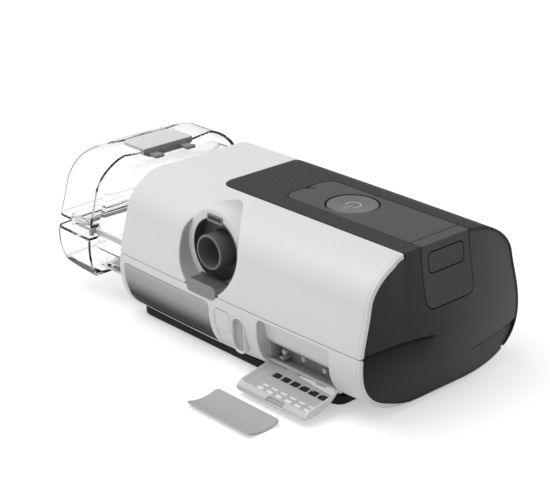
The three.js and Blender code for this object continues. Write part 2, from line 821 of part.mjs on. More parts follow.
// A shallow wedge cut below a crease that runs across the end between two [y, z] points
function crease([y0, z0], [y1, z1]) {
  const deep = [[y0, z0], [y1, z1]].map(([y, z]) =>
    endX([Math.sign(y) * halfWidth, z], z, Math.abs(y) / halfWidth) - creaseDepth);
  const far = rimX + 4 * endBulge;
  const corners = [
    [deep[0], y0, z0], [deep[1], y1, z1], [far, y1, z1], [far, y0, z0],
    [deep[0] + 2 * creaseDepth, y0, z0 - creaseFall], [deep[1] + 2 * creaseDepth, y1, z1 - creaseFall],
    [far, y1, z1 - creaseFall], [far, y0, z0 - creaseFall],
  ].map(([x, y, z]) => new THREE.Vector3(x, y, z));
  return loft([corners.slice(0, 4), corners.slice(4)]);
}

const tabShape = (margin) => rounded([stripRearY, stripFrontY], [tabLowZ, overTop], tabCorner, margin);
const cardShape = (margin) => rounded([cardCoverRearY, cardCoverFrontY], [cardCoverLowZ, cardCoverHighZ],
  cardCoverCorner, margin);
const cardMidY = (cardCoverRearY + cardCoverFrontY) / 2;
const cardMidZ = (cardCoverLowZ + cardCoverHighZ) / 2;
const cardSlot = (margin, from, to) => block([from, to],
  [cardMidY - cardSlotWidth / 2 - margin, cardMidY + cardSlotWidth / 2 + margin],
  [cardMidZ - cardSlotHeight / 2 - margin, cardMidZ + cardSlotHeight / 2 + margin]);

// The end face reaching the housing's very edge, from which the tab and the card cover are cut
const endFace = endForm(0, 0, endDepth);
const tabSkin = endFace.subtract(endFace.translate(-fasciaThickness, 0, 0))
  .intersect(block([rimX - endDepth - fasciaThickness, 2 * rimX], across, [0, housingHeight]));

function endPanel() {
  const shell = endForm(endInset, 0, endDepth)
    .subtract(endForm(wall + fit + endWall, endWall, endDepth + overrun));
  const pocket = block([0, 2 * rimX], across, [0, 2 * housingHeight])
    .subtract(endFace.translate(-fasciaThickness - fit, 0, 0))
    .intersect(prism('x', tabShape(fit), rimX / 2, 2 * rimX));
  const rear = crease([-halfWidth, widestZ + rearCreaseEndRise],
    [rearCreaseY, widestZ + rearCreaseRise]);
  const front = crease([frontCreaseY, widestZ - frontCreaseDrop],
    [halfWidth, widestZ - frontCreaseEndDrop]);
  return cut(shell, [pocket, rear, front, prism('x', cardShape(-fit), 0, 2 * rimX)]);
}

function endTab() {
  const face = tabSkin.intersect(prism('x', tabShape(0), rimX / 2, 2 * rimX));
  const top = layer(0, fasciaThickness).intersect(stripZone(0)).intersect(form(-overrun, mouthAt, rimAt))
    .intersect(block([tabTopX, 2 * rimX], across, [0, 2 * housingHeight]));
  return face.add(top).subtract(prism('x', cardShape(fit), rimX / 2, 2 * rimX));
}

const cardCover = () => tabSkin.intersect(prism('x', cardShape(0), rimX / 2, 2 * rimX));

const cardShare = (cardMidZ - endCentreZ) / (housingHeight - endCentreZ);

function cardSocket() {
  const face = endX([0, housingHeight], cardMidZ, cardShare) - endWall - 2 * fasciaThickness;
  const body = block([face - cardSocketDepth, face],
    [cardMidY - cardSlotWidth / 2 - wall, cardMidY + cardSlotWidth / 2 + wall],
    [boardZ + boardThickness + fit, cardMidZ + cardSlotHeight / 2 + wall]);
  return body.subtract(cardSlot(0, face - cardSocketDepth + wall, face + overrun));
}

// Air outlet pieces

function outletDish() {
  const lining = dishTool(fit).subtract(dishTool(fit + dishWall, overrun));
  const floor = dishTool(fit).intersect(block(across, [hoodFaceY - dishFloor, 0],
    [0, dishFloorTopZ]))
    .subtract(prism('y', disc(outletX, outletZ, cavityRadius + fit, round.large), -housingWidth, 0));
  const clip = prism('y', clipShape(fit), -housingWidth, clipBackY + fit);
  return cut(lining.add(floor).intersect(whole(0)).intersect(below(dishTopZ)), [clip]);
}

function outletTube() {
  const back = cavityFloorY + cavityFloorWall + fit;
  const outside = turned('y', [[0, tubeMouthY], [tubeRadius - edgeRound / 2, tubeMouthY],
    [tubeRadius, tubeMouthY + edgeRound / 2], [tubeRadius, back], [0, back]], outletAt);
  const bore = prism('y', disc(outletX, outletZ, tubeRadius - tubeWall, round.large), -housingWidth, 0);
  return outside.subtract(bore);
}

function outletPlug() {
  const body = prism('y', plugShape(0), hoodFaceY - fit, hoodFaceY + plugDepth);
  const midZ = plugLowZ + plugHeight / 2;
  return body.subtract(block([outletX - plugSlotWidth / 2, outletX + plugSlotWidth / 2],
    [-housingWidth, hoodFaceY + plugDepth / 2], [midZ - plugSlotHeight / 2, midZ + plugSlotHeight / 2]));
}

const outletClip = () => prism('y', clipShape(0), -housingWidth, clipBackY).intersect(whole(-clipProud));

// Plates and power inlet

const plate = (zone) => layer(0, plateThickness).intersect(zone(0)).subtract(dishTool(-plateGap));

function inletBezel() {
  const outer = prism('y', inletShape(0), -housingWidth, 0);
  const inner = prism('y', inletShape(-inletRim), -housingWidth, 0);
  return outer.subtract(inner).intersect(layer(-inletProud, wall));
}

const socketFaceY = sideY(inletX, inletZ) + inletSetback;
const powerBoardY = socketFaceY + inletDepth + fit;

function inletSocket() {
  const [outer, inner] = [-inletRim - fit, -inletRim - fit - inletSocketWall];
  const face = socketFaceY;
  const body = prism('y', inletShape(outer), face, face + inletDepth);
  const hollow = prism('y', inletShape(inner), face - overrun, face + inletDepth - inletSocketWall);
  const pins = [-1, 0, 1].map((i) => prism('y', disc(inletX, inletZ + i * inletPinPitch, inletPinRadius),
    face + inletDepth - inletSocketWall - inletPinLength, face + inletDepth - inletSocketWall));
  return join([body.subtract(hollow), ...pins]);
}

// Filter bay

function filterBay() {
  const profile = (margin) => polygon([
    [-housingWidth, bayFloorZ - margin], [bayBackY + margin, bayFloorZ - margin],
    [bayBackY + margin, bayLedgeZ + margin], [bayLedgeY + margin, bayLedgeZ + margin],
    [bayLipY + margin, bayTopZ + margin], [-housingWidth, bayTopZ + margin],
  ]);
  const outer = prism('x', profile(0), bayStartX, bayEndX).intersect(bayZone(0));
  const inner = prism('x', profile(-bayWall), bayStartX + bayWall, bayEndX - bayWall)
    .intersect(bayZone(-bayWall));
  const posts = postShares.map(([along, up]) => prism('y',
    disc(bayStartX + along * (bayEndX - bayStartX), bayFloorZ + up * (bayTopZ - bayFloorZ), postRadius),
    postTipY, bayBackY - bayWall / 2));
  return cut(join([outer.subtract(inner), ...posts]),
    [coverSpace(coverClearance), barrel(fit), hingeBore(fit)]);
}

const coverStartX = bayStartX + fit;
const coverEndX = bayEndX - fit;
const coverLowZ = bayFloorZ + fit;
const coverHighZ = bayTopZ - fit;
const hingeZ = coverLowZ + coverHingeRise;
const hingeY = sideY((bayStartX + bayEndX) / 2, hingeZ) + hingePinRadius;

const coverTopY = sideY((bayStartX + bayEndX) / 2, coverHighZ) + coverPlateSetback;
const coverLowY = hingeY + hingePinRadius + fit;

// All that lies outside the cover's inner plate, between two heights
const coverChord = (margin, from, to) => prism('x', polygon([
  [-housingWidth, coverLowZ - margin], [coverLowY + margin, coverLowZ - margin],
  [coverTopY + margin, coverHighZ + margin], [-housingWidth, coverHighZ + margin],
]), from, to);
const coverSpace = (margin) => coverChord(margin, coverStartX - margin, coverEndX + margin);

// The cover as it is when shut, before it is swung open
function filterCoverShut() {
  const zone = prism('y', rounded([coverStartX, coverEndX], [coverLowZ, coverHighZ], bayCorner),
    -housingWidth, 0);
  const skin = layer(0, coverSkin).intersect(zone);
  const inside = coverChord(-fit, coverStartX, coverEndX).intersect(whole(coverSkin / 2)).intersect(zone);
  const trough = coverChord(-fit, coverStartX + coverSkin, coverEndX - coverSkin)
    .translate(0, -coverPlate, 0).intersect(whole(coverSkin));
  const lean = Math.atan2(coverLowY - coverTopY, coverHighZ - coverLowZ);
  const pitch = (coverEndX - coverStartX) / (coverSlotCount + 2 * coverEndShare);
  const tools = [];
  for (let i = 0; i < coverSlotCount; i += 1) {
    const x = coverStartX + pitch * (i + coverEndShare + 1 / 2);
    const at = (along, from, to, width) => {
      const tool = new THREE.BoxGeometry(coverSlotLength, to - from, width);
      tool.translate(0, (from + to) / 2, along).rotateX(lean).translate(x, coverLowY, coverLowZ);
      return solid(tool);
    };
    tools.push(at(coverFirstRow, -2 * coverPlate, coverPlate, coverSlotWidth));
    for (let row = 1; row <= coverPocketRows; row += 1) {
      tools.push(at(coverFirstRow + row * coverPocketPitch, -coverPocketDepth, coverPlate, coverSlotWidth));
    }
  }
  const grip = prism('y', rounded([coverStartX + coverGripWidth, coverStartX + 2 * coverGripWidth],
    [coverHighZ - coverGripDepth, coverHighZ + overrun], coverGripDepth / 2), -housingWidth, 0);
  const gripZone = layer(-overrun, coverSkin + coverPlateSetback / 2);
  return cut(join([skin, inside.subtract(trough)]), [...tools, grip.intersect(gripZone)]);
}

function hingeBore(margin) {
  return prism('x', disc(hingeY, hingeZ, hingePinRadius + margin), bayStartX - overrun, bayEndX + overrun);
}

const barrel = (margin) => prism('x', disc(hingeY, hingeZ, barrelRadius + margin),
  coverStartX - margin, coverEndX + margin);

function filterCover() {
  return swung(cut(filterCoverShut(), [below(hingeZ).subtract(barrel(0)), hingeBore(fit)]));
}

function swung(body) {
  return body.translate(0, -hingeY, -hingeZ).rotate([THREE.MathUtils.radToDeg(coverOpenAngle), 0, 0])
    .translate(0, hingeY, hingeZ);
}

function hingePin(side) {
  const from = side < 0 ? bayStartX + fit - hingePinLength / 2 : bayEndX - fit - hingePinLength / 2;
  return prism('x', disc(hingeY, hingeZ, hingePinRadius), from, from + hingePinLength);
}

// Filter pad, a strip of fibre whose long edges curl up

function filterPad() {
  const top = [];
  const low = [];
  for (let i = 0; i <= padSteps; i += 1) {
    const share = (2 * i) / padSteps - 1;
    const z = padArch * share ** 2 - footProud + fit / 2;
    top.push([(padWidth / 2) * share, z + padThickness]);
    low.push([(padWidth / 2) * share, z]);
  }
  const arched = prism('x', polygon([...low, ...top.reverse()]), -padLength / 2, padLength / 2);
  const plan = prism('z', rounded([-padLength / 2, padLength / 2], [-padWidth / 2, padWidth / 2], padCorner),
    -overrun, padArch + padThickness + overrun);
  return arched.intersect(plan).rotate([0, 0, THREE.MathUtils.radToDeg(padTurn)])
    .translate(padCentreX, padCentreY, 0);
}

// Water tub, modelled where the photograph has it

const tubStepX = mouthX - tubOut;
const tubEndX = tubStepX - tubEndLength;
const tubInnerX = tubStepX + tubInsertLength;

// The tub's end shell drawn in by an inset, rounded over at its closed end
function tubEndForm(inset) {
  const last = tubEndX + inset;
  const rings = tubCapShares.map((share) => ring(() => last, inset + tubEndRound).map(({ y, z }) => {
    const x = last - tubEndBulge * (1 - share * share);
    return new THREE.Vector3(x, y * share, endCentreZ + (z - endCentreZ) * share);
  }));
  tubRoundShares.forEach(([along, drawn]) => {
    rings.push(ring(() => last + tubEndRound * along, inset + tubEndRound * drawn));
  });
  rings.push(ring(() => tubStepX - inset, inset));
  return loft(rings);
}

function tubInsertForm(inset) {
  return loft([ring(() => tubStepX - tubEndLength + tubInset + inset, inset),
    ring(() => tubStepX, inset), ring(() => tubInnerX - (inset - tubInset), inset)]);
}

const tubPlan = (corner, from) => prism('z', rounded([from, tubStepX + housingWidth],
  [-halfWidth - overrun, halfWidth + overrun], corner), -housingHeight, housingHeight);

// All above the floor of the tub's end, which curves up towards the closed end
function aboveEndFloor(margin) {
  const low = tubEndFloorZ + margin;
  const reach = tubEndLength + tubEndBulge;
  const floor = tubFloorShares.map(([along, risen]) => [tubStepX - reach * along, low + tubFloorRise * risen]);
  return prism('y', polygon([...floor, [tubInnerX, low], [tubInnerX, overTop],
    [tubStepX - reach, overTop]]), ...across);
}

function tubBase() {
  const end = tubEndForm(0).intersect(aboveEndFloor(0)).intersect(below(tubBaseTopZ))
    .intersect(tubPlan(tubEndCorner + overrun, tubEndX - tubEndBulge));
  const insert = tubInsertForm(tubInset).intersect(above(tubInsertFloorZ))
    .intersect(below(tubBaseTopZ + tubRimHeight));
  const endHollow = tubEndForm(tubWall).intersect(aboveEndFloor(tubWall))
    .intersect(below(tubBaseTopZ - tubWall))
    .intersect(tubPlan(tubEndCorner, tubEndX - tubEndBulge + tubWall));
  const insertHollow = tubInsertForm(tubInset + tubWall).intersect(above(tubInsertFloorZ + tubWall));
  const rails = [-1, 1].map((side) => tubInsertForm(tubInset - railProud)
    .subtract(tubInsertForm(tubInset + tubWall / 2))
    .intersect(block([tubStepX - tubWall / 2, tubInnerX - tubInset],
      side < 0 ? [-housingWidth, -halfWidth / 2] : [halfWidth / 2, housingWidth],
      [railZ, railZ + railHeight])));
  return cut(join([end, insert, ...rails]), [endHollow, insertHollow]);
}

function tubLid() {
  const end = tubEndForm(0).intersect(above(tubLidLowZ));
  const insert = tubInsertForm(tubInset).intersect(above(tubLidLowZ - tubSkirtDrop));
  const endHollow = tubEndForm(tubWall).intersect(above(tubLidLowZ + tubWall));
  const insertHollow = tubInsertForm(tubInset + tubWall);
  const ports = [-portY, portY].map((y) => prism('x', disc(y, portZ, portRadius, round.mid),
    tubInnerX - overrun, tubInnerX + overrun));
  const gripAcross = [-gripWidth / 2 - fit, gripWidth / 2 + fit];
  const gripWell = block([tubStepX - gripLength - fit, tubStepX + overrun], gripAcross,
    [housingHeight - gripThickness - gripTravel - fit, overTop]);
  const lipWell = block([tubStepX - 2 * gripThickness - fit, tubStepX + overrun], gripAcross,
    [housingHeight - gripLip - gripTravel - fit, overTop]);
  const shelf = block([tubStepX - gripLength - 2 * tubWall, tubStepX],
    [-gripWidth / 2 - tubWall, gripWidth / 2 + tubWall],
    [latchLowZ - gripTravel - fit - tubWall, housingHeight - fit]).intersect(tubEndForm(tubWall / 2));
  const latchWells = latchSides.map((side) => block([tubStepX - 2 * latchThickness - fit, tubStepX + overrun],
    latchSpan(side, fit), [latchLowZ - gripTravel - fit, overTop]));
  const shell = cut(end.add(insert), [endHollow, insertHollow]);
  return cut(join([shell, shelf]), [gripWell, lipWell, ...latchWells, ...ports]);
}

function tubSeal() {
  const low = tubBaseTopZ + tubRimHeight + fit;
  const outer = tubInsertForm(tubInset).subtract(tubInsertForm(tubInset + sealThickness));
  return outer.intersect(above(low)).intersect(below(tubLidLowZ - tubSkirtDrop - fit));
}

const latchSides = [-1, 1];
const latchLowZ = housingHeight - gripLip - latchThickness / 2;
const latchSpan = (side, margin) => [(side * latchSpacing - latchWidth) / 2 - margin,
  (side * latchSpacing + latchWidth) / 2 + margin];

function tubGrip() {
  const plan = prism('z', rounded([tubStepX - gripLength, tubStepX + housingWidth],
    [-gripWidth / 2, gripWidth / 2], gripCorner), 0, housingHeight);
  const limit = tubEndForm(0).intersect(plan);
  const plate = limit.intersect(above(housingHeight - gripThickness));
  const lip = limit.intersect(above(housingHeight - gripLip))
    .intersect(block([tubStepX - 2 * gripThickness, tubStepX], across, [0, housingHeight]));
  const hooks = latchSides.map((side) => {
    const width = latchSpan(side, 0);
    const tip = tubStepX + latchReach;
    return join([
      block([tubStepX - latchThickness, tip], width, [latchLowZ, latchLowZ + latchThickness]),
      block([tip - latchThickness, tip], width, [latchLowZ, latchLowZ + latchThickness + latchNib]),
    ]);
  });
  return join([plate, lip, ...hooks]);
}

function tubHeaterPlate() {
  const shape = tubInsertForm(tubInset + tubPlateMargin);
  return shape.intersect(above(tubInsertFloorZ - fit - tubPlateThickness))
    .intersect(below(tubInsertFloorZ - fit))
    .intersect(block([tubStepX + fit, tubInnerX], across, [0, housingHeight]));
}

function lidCatch(side) {
  const y = (halfWidth - tubInset) * side;
  const low = tubBaseTopZ + fit;
  const high = tubLidLowZ - fit;
  const stem = catchStemShares.map((share) => tubStepX - catchLength * share);
  const ys = side < 0 ? [y - catchWidth, y - fit] : [y + fit, y + catchWidth];
  return join([
    block([tubStepX - catchLength, tubStepX - fit], ys, [high - catchHeight / 2, high]),
    block(stem, ys, [low, high]),
  ]);
}

// Bay liner and hot plate

function bayLiner() {
  const from = () => mouthX + edgeRound;
  const outer = form(wall + linerGap, from, () => linerBackX + linerWall, 0, endShares)
    .intersect(above(linerLowZ));
  const inner = form(wall + linerGap + linerWall, shifted(from, -overrun), () => linerBackX, 0, endShares)
    .intersect(above(linerLowZ + linerWall));
  const ports = [-portY, portY].map((y) => prism('x', disc(y, portZ, portRadius - linerPortStep, round.mid),
    linerBackX - overrun, linerBackX + overrun));
  const latchRoom = block([mouthX, mouthX + latchSlotLength],
    [latchSpan(-1, 2 * fit)[0], latchSpan(1, 2 * fit)[1]],
    [latchLowZ - 2 * fit, housingHeight - wall - fit]);
  const hood = turned('y', [[0, -housingWidth], [hoodRadius + fit, -housingWidth],
    [hoodRadius + fit, 0], [0, 0]], outletAt);
  return cut(outer, [inner, hood, latchRoom, ...ports]);
}

function hotPlate() {
  const high = tubInsertFloorZ - fit - tubPlateThickness - fit;
  return prism('z', rounded([hotPlateStartX, linerBackX - fit],
    [-halfWidth + hotPlateMargin, halfWidth - hotPlateMargin], hotPlateMargin / 2),
  high - hotPlateThickness, high);
}

function hotPlateBed() {
  const high = tubInsertFloorZ - tubPlateThickness - 3 * fit - hotPlateThickness;
  return prism('z', rounded([hotPlateStartX, linerBackX - fit],
    [-halfWidth + 2 * hotPlateMargin, halfWidth - 2 * hotPlateMargin], hotPlateMargin / 2),
  linerLowZ + linerWall + fit, high);
}

function portSeal(y) {
  const radius = portRadius - linerPortStep - fit;
  const outer = prism('x', disc(y, portZ, radius, round.mid),
    linerBackX - portSealLength, linerBackX + linerWall + portSealLength);
  const bore = prism('x', disc(y, portZ, radius - portSealWall, round.mid),
    linerBackX - 2 * portSealLength, linerBackX + linerWall + 2 * portSealLength);
  return outer.subtract(bore);
}

// Blower and ducts

function blowerLower() {
  return turned('z', [
    [0, blowerLowZ], [blowerRadius - blowerWall, blowerLowZ], [blowerRadius, blowerLowZ + blowerWall],
    [blowerRadius, blowerSplitZ], [blowerRadius - blowerWall, blowerSplitZ],
    [blowerRadius - blowerWall, blowerLowZ + 2 * blowerWall],
    [blowerRadius - 2 * blowerWall, blowerLowZ + blowerWall], [0, blowerLowZ + blowerWall],
  ], [blowerX, blowerY, 0]);
}

function blowerUpper() {
  const cup = turned('z', [
    [blowerInletRadius, blowerHighZ], [blowerRadius - blowerWall, blowerHighZ],
    [blowerRadius, blowerHighZ - blowerWall], [blowerRadius, blowerSplitZ + fit],
    [blowerRadius - blowerWall, blowerSplitZ + fit], [blowerRadius - blowerWall, blowerHighZ - blowerWall],
    [blowerInletRadius, blowerHighZ - blowerWall],
  ].reverse(), [blowerX, blowerY, 0]);
  const port = prism('x', disc(blowerY, (blowerSplitZ + blowerHighZ) / 2, ductRadius - ductWall - fit),
    blowerX - blowerRadius - overrun, blowerX - blowerRadius + 2 * overrun);
  return cup.subtract(port);
}

function motor() {
  const low = blowerLowZ + blowerWall + fit;
  const body = turned('z', [[shaftRadius + fit, low], [motorRadius, low], [motorRadius, low + motorHeight],
    [shaftRadius + fit, low + motorHeight]], [blowerX, blowerY, 0], round.mid);
  return body;
}

// Hub, back plate and swept vanes
function impeller() {
  const low = blowerLowZ + blowerWall + motorHeight + 2 * fit + impellerPlate;
  const hub = prism('z', disc(0, 0, impellerHubRadius), low, low + impellerPlate + impellerVaneHeight);
  const plate = prism('z', disc(0, 0, impellerRadius, round.large), low, low + impellerPlate);
  const vanes = [];
  for (let i = 0; i < impellerVaneCount; i += 1) {
    const inner = [];
    const outer = [];
    for (let k = 0; k <= vaneSteps; k += 1) {
      const radius = impellerHubRadius - impellerVaneThickness
        + (impellerRadius - impellerHubRadius) * (k / vaneSteps);
      const turn = (i * 2 * Math.PI) / impellerVaneCount + impellerSweep * (k / vaneSteps) ** sweepPower;
      const half = impellerVaneThickness / 2 / radius;
      inner.push([radius * Math.cos(turn - half), radius * Math.sin(turn - half)]);
      outer.push([radius * Math.cos(turn + half), radius * Math.sin(turn + half)]);
    }
    vanes.push(prism('z', polygon([...inner, ...outer.reverse()]), low + impellerPlate / 2,
      low + impellerPlate + impellerVaneHeight));
  }
  const shaft = prism('z', disc(0, 0, shaftRadius),
    low - shaftLength + impellerVaneHeight + impellerPlate, low + impellerPlate / 2);
  const trim = prism('z', disc(0, 0, impellerRadius, round.large), 0, housingHeight);
  const spin = join([plate, ...vanes]).intersect(trim);
  return join([spin, hub, shaft]).translate(blowerX, blowerY, 0);
}

function duct(points) {
  const stops = points.map((point) => new THREE.Vector3(...point));
  const curve = new THREE.CatmullRomCurve3(stops, false, 'centripetal');
  const shape = disc(0, 0, ductRadius);
  shape.holes.push(disc(0, 0, ductRadius - ductWall));
  const options = { steps: ductSteps, bevelEnabled: false, extrudePath: curve };
  return solid(new THREE.ExtrudeGeometry(shape, options));
}

const ductStartX = linerBackX + linerWall + portSealLength + fit;

function outletDuct() {
  const end = cavityFloorY + cavityFloorWall + 2 * fit;
  return duct([[ductStartX, -portY, portZ], [ductStartX + ductRadius, -portY, portZ],
    [outletX - fit, -portY - ductRadius, outletZ], [outletX, end + ductRadius / 2, outletZ],
    [outletX, end, outletZ]]);
}

function blowerDuct() {
  const z = (blowerSplitZ + blowerHighZ) / 2;
  const start = blowerX - blowerRadius - fit;
  return duct([[start, blowerY, z], [start - ductRadius, blowerY, z],
    [ductStartX + 2 * ductRadius, portY, portZ], [ductStartX + ductRadius / 2, portY, portZ],
    [ductStartX, portY, portZ]]);
}

// Boards and foam

function mainBoard() {
  return block([boardStartX, boardEndX], [boardRearY, boardFrontY], [boardZ, boardZ + boardThickness]);
}
const inletFoam = () => block([foamStartX, foamEndX], [foamRearY, foamFrontY], [foamLowZ, foamTopZ]);
function powerBoard() {
  return block([powerBoardStartX, powerBoardEndX], [powerBoardY, powerBoardY + boardThickness],
    [foamLowZ, powerBoardTopZ]);
}

// Assembly

const machine = new THREE.Group();

const finishes = {
  white: { color: 0xdedede, roughness: 0.45, metalness: 0 },
  fascia: { color: 0x55565a, roughness: 0.6, metalness: 0 },
  strip: { color: 0x4e4f52, roughness: 0.4, metalness: 0 },
  button: { color: 0x6a6b6e, roughness: 0.45, metalness: 0 },
  black: { color: 0x1c1c1d, roughness: 0.6, metalness: 0 },
  outlet: { color: 0x7d7e80, roughness: 0.5, metalness: 0 },
  dark: { color: 0x3a3a3c, roughness: 0.5, metalness: 0 },
  silver: { color: 0x9a9b9d, roughness: 0.35, metalness: 0.2 },
  cover: { color: 0xb8b9ba, roughness: 0.5, metalness: 0 },
  clear: { color: 0xe8ecee, roughness: 0.05, metalness: 0, transparent: true, opacity: 0.35 },
  grip: { color: 0xb4b6b8, roughness: 0.5, metalness: 0 },
  steel: { color: 0xb0b2b4, roughness: 0.3, metalness: 0.9 },
  rubber: { color: 0x2a2a2b, roughness: 0.9, metalness: 0 },
  silicone: { color: 0xd8dadb, roughness: 0.6, metalness: 0 },
  fibre: { color: 0xb5b5b5, roughness: 0.95, metalness: 0 },
  board: { color: 0x2f6b45, roughness: 0.5, metalness: 0 },
  foam: { color: 0x77787a, roughness: 0.95, metalness: 0 },
  glass: { color: 0x101114, roughness: 0.08, metalness: 0 },
};

function add(name, body, finish) {
  const mesh = new THREE.Mesh(geometryOf(body), new THREE.MeshStandardMaterial(finishes[finish]));
  mesh.name = name;
  machine.add(mesh);
}

const bothCasings = casing();
add('upper_casing', bothCasings.intersect(above(seamZ + fit / 2)), 'white');
add('lower_casing', lowerCasing(bothCasings), 'white');
add('base_tray', trayBody(), 'black');
footPlaces().forEach((place, i) => add(`foot_${i + 1}`, foot(place), 'rubber'));
screwPlaces().forEach((place, i) => add(`base_screw_${i + 1}`, screw(place), 'steel'));
add('fascia', fascia(), 'fascia');
add('control_strip', controlStrip(), 'strip');
add('start_button', startButton(), 'button');
add('button_switch', buttonSwitch(), 'dark');
add('light_sensor', sensorWindow(), 'dark');
add('display_glass', displayLayer(0, glassThickness, 0), 'glass');
add('display_module', displayLayer(glassThickness + fit, wall + moduleProud, -windowMargin - fit), 'dark');
add('end_panel', endPanel(), 'fascia');
add('end_tab', endTab(), 'strip');
add('card_cover', cardCover(), 'strip');
add('card_socket', cardSocket(), 'dark');
add('outlet_dish', outletDish(), 'outlet');
add('outlet_tube', outletTube(), 'dark');
add('outlet_plug', outletPlug(), 'dark');
add('outlet_clip', outletClip(), 'outlet');
add('rating_plate', plate(ratingZone), 'silver');
add('notice_plate', plate(noticeZone), 'white');
add('inlet_bezel', inletBezel(), 'white');
add('inlet_socket', inletSocket(), 'outlet');
add('filter_bay', filterBay(), 'cover');
add('filter_cover', filterCover(), 'cover');
add('cover_hinge_pin_1', hingePin(-1), 'cover');
add('cover_hinge_pin_2', hingePin(1), 'cover');
add('filter_pad', filterPad(), 'fibre');
add('tub_base', tubBase(), 'clear');
add('tub_lid', tubLid(), 'clear');
add('tub_seal', tubSeal(), 'silicone');
add('tub_grip', tubGrip(), 'grip');
add('tub_heater_plate', tubHeaterPlate(), 'steel');
add('lid_catch_1', lidCatch(-1), 'dark');
add('lid_catch_2', lidCatch(1), 'dark');
add('bay_liner', bayLiner(), 'dark');
add('hot_plate', hotPlate(), 'steel');
add('hot_plate_bed', hotPlateBed(), 'dark');
add('port_seal_1', portSeal(-portY), 'silicone');
add('port_seal_2', portSeal(portY), 'silicone');
add('blower_lower', blowerLower(), 'white');
add('blower_upper', blowerUpper(), 'white');
add('blower_motor', motor(), 'steel');
add('impeller', impeller(), 'white');
add('outlet_duct', outletDuct(), 'silicone');
add('blower_duct', blowerDuct(), 'silicone');
add('main_board', mainBoard(), 'board');
add('power_board', powerBoard(), 'board');
add('inlet_foam', inletFoam(), 'foam');

export default machine;
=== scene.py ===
"""Looks for a bedside breathing-therapy machine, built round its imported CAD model.

X runs from the water tub to the dark end, the side with the air outlet faces -Y and Z is up.
Shapes are worked out in millimetres and put into the meshes in metres.
"""

import json
import math

import bmesh
import bpy
import numpy as np
from mathutils import Matrix, Vector


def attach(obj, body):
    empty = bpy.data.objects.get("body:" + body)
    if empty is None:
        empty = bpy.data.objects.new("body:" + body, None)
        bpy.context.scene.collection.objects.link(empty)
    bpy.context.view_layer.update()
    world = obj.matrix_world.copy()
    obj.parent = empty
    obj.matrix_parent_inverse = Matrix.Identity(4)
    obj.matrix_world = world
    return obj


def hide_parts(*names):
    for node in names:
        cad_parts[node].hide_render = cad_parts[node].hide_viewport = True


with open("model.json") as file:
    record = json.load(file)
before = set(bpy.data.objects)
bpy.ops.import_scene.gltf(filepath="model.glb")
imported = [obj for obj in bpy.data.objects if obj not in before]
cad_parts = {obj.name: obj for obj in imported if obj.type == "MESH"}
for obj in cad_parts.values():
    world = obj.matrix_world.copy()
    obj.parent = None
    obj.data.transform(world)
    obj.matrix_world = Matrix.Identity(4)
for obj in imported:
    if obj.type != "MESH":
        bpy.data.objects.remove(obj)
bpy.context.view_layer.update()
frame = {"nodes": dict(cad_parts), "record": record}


# Camera
# Stands where the photograph was taken from. Place, turn and lens were found by fitting
# the machine's known lengths and circles to the picture.
azimuth, elevation = math.radians(46.98), math.radians(22.5)
right = Vector((math.cos(azimuth), math.sin(azimuth), 0))
back = Vector((math.sin(azimuth) * math.cos(elevation), -math.cos(azimuth) * math.cos(elevation), math.sin(elevation)))
camera = bpy.data.objects.new("camera", bpy.data.cameras.new("camera"))
camera.matrix_world = Matrix((right, back.cross(right), back)).transposed().to_4x4()
camera.location = (0.66697, -0.64201, 0.43794)
camera.data.lens = 104.54
camera.data.sensor_width = 36
camera.data.clip_start = 0.05
bpy.context.collection.objects.link(camera)
bpy.context.scene.camera = camera


# White plastic casings
# Two glossy moulded halves that part along a level seam. The form is a rounded trapezoid swept along
# the machine, a little fuller at mid length, its underside rising towards the dark end.
HALF, HEIGHT, MOUTH, RIM = 69.25, 94.5, -93.3, 121.3  # half the width, height, x at the tub and at the dark end
SEAM, WALL, JOINT = 44.0, 2.8, 0.3  # the seam's height, the wall, and the joint line between two skins
SWELL = 1.8  # how much fuller each side is at mid length
SINK, SINK_TOP = 5.5, 36.2  # how far the underside drops at the tub, and the height below which it does
LEAN, CURL, DIP = 1.6, 0.9, 4.5  # how the rim leans and curls with height, and its set-back at the top's middle
FAR = 1000.0
# Points of three cubic curves up one side, as shares of half the width and of the height.
CURVES = np.array([
    [0.254, 0.036], [0.8, 0.036], [1, 0.181], [1, 0.383], [1, 0.526],
    [0.926, 0.639], [0.893, 0.771], [0.859, 0.908], [0.606, 1], [0.524, 1],
]) * (HALF, HEIGHT)


def smooth(share):
    """A share taken smoothly from 0 to 1: three times its square less twice its cube."""
    share = np.clip(share, 0, 1)
    return share * share * (3 - 2 * share)


def stacked(*parts):
    """Arrays brought to one shape and put side by side as the coordinates of points."""
    return np.stack(np.broadcast_arrays(*parts), -1)


def section_loop():
    """The closed outline as (length, y, z, outward y, outward z) columns, from the middle of the underside up the
    display side, over the top and down the outlet side: three cubic curves, mirrored, and a flat top."""
    t = np.linspace(0, 1, 60)[:, None]
    half = [(1 - t) ** 3 * a + 3 * (1 - t) ** 2 * t * b + 3 * (1 - t) * t * t * c + t ** 3 * d
            for a, b, c, d in (CURVES[0:4], CURVES[3:7], CURVES[6:10])]
    half = np.vstack([[[0, CURVES[0, 1]]], half[0], half[1][1:], half[2][1:], [[0, HEIGHT]]])
    loop = np.vstack([half, half[-2::-1] * (-1, 1)])
    step = np.hypot(*np.diff(loop, axis=0).T)
    length = np.r_[0, np.cumsum(step)]
    even = np.linspace(0, length[-1], 1201)
    y, z = np.interp(even, length, loop[:, 0]), np.interp(even, length, loop[:, 1])
    way_y, way_z = np.gradient(y, even), np.gradient(z, even)
    size = np.hypot(way_y, way_z)
    return stacked(even, y, z, way_z / size, -way_y / size)


LOOP = section_loop()
ROUND = LOOP[-1, 0]


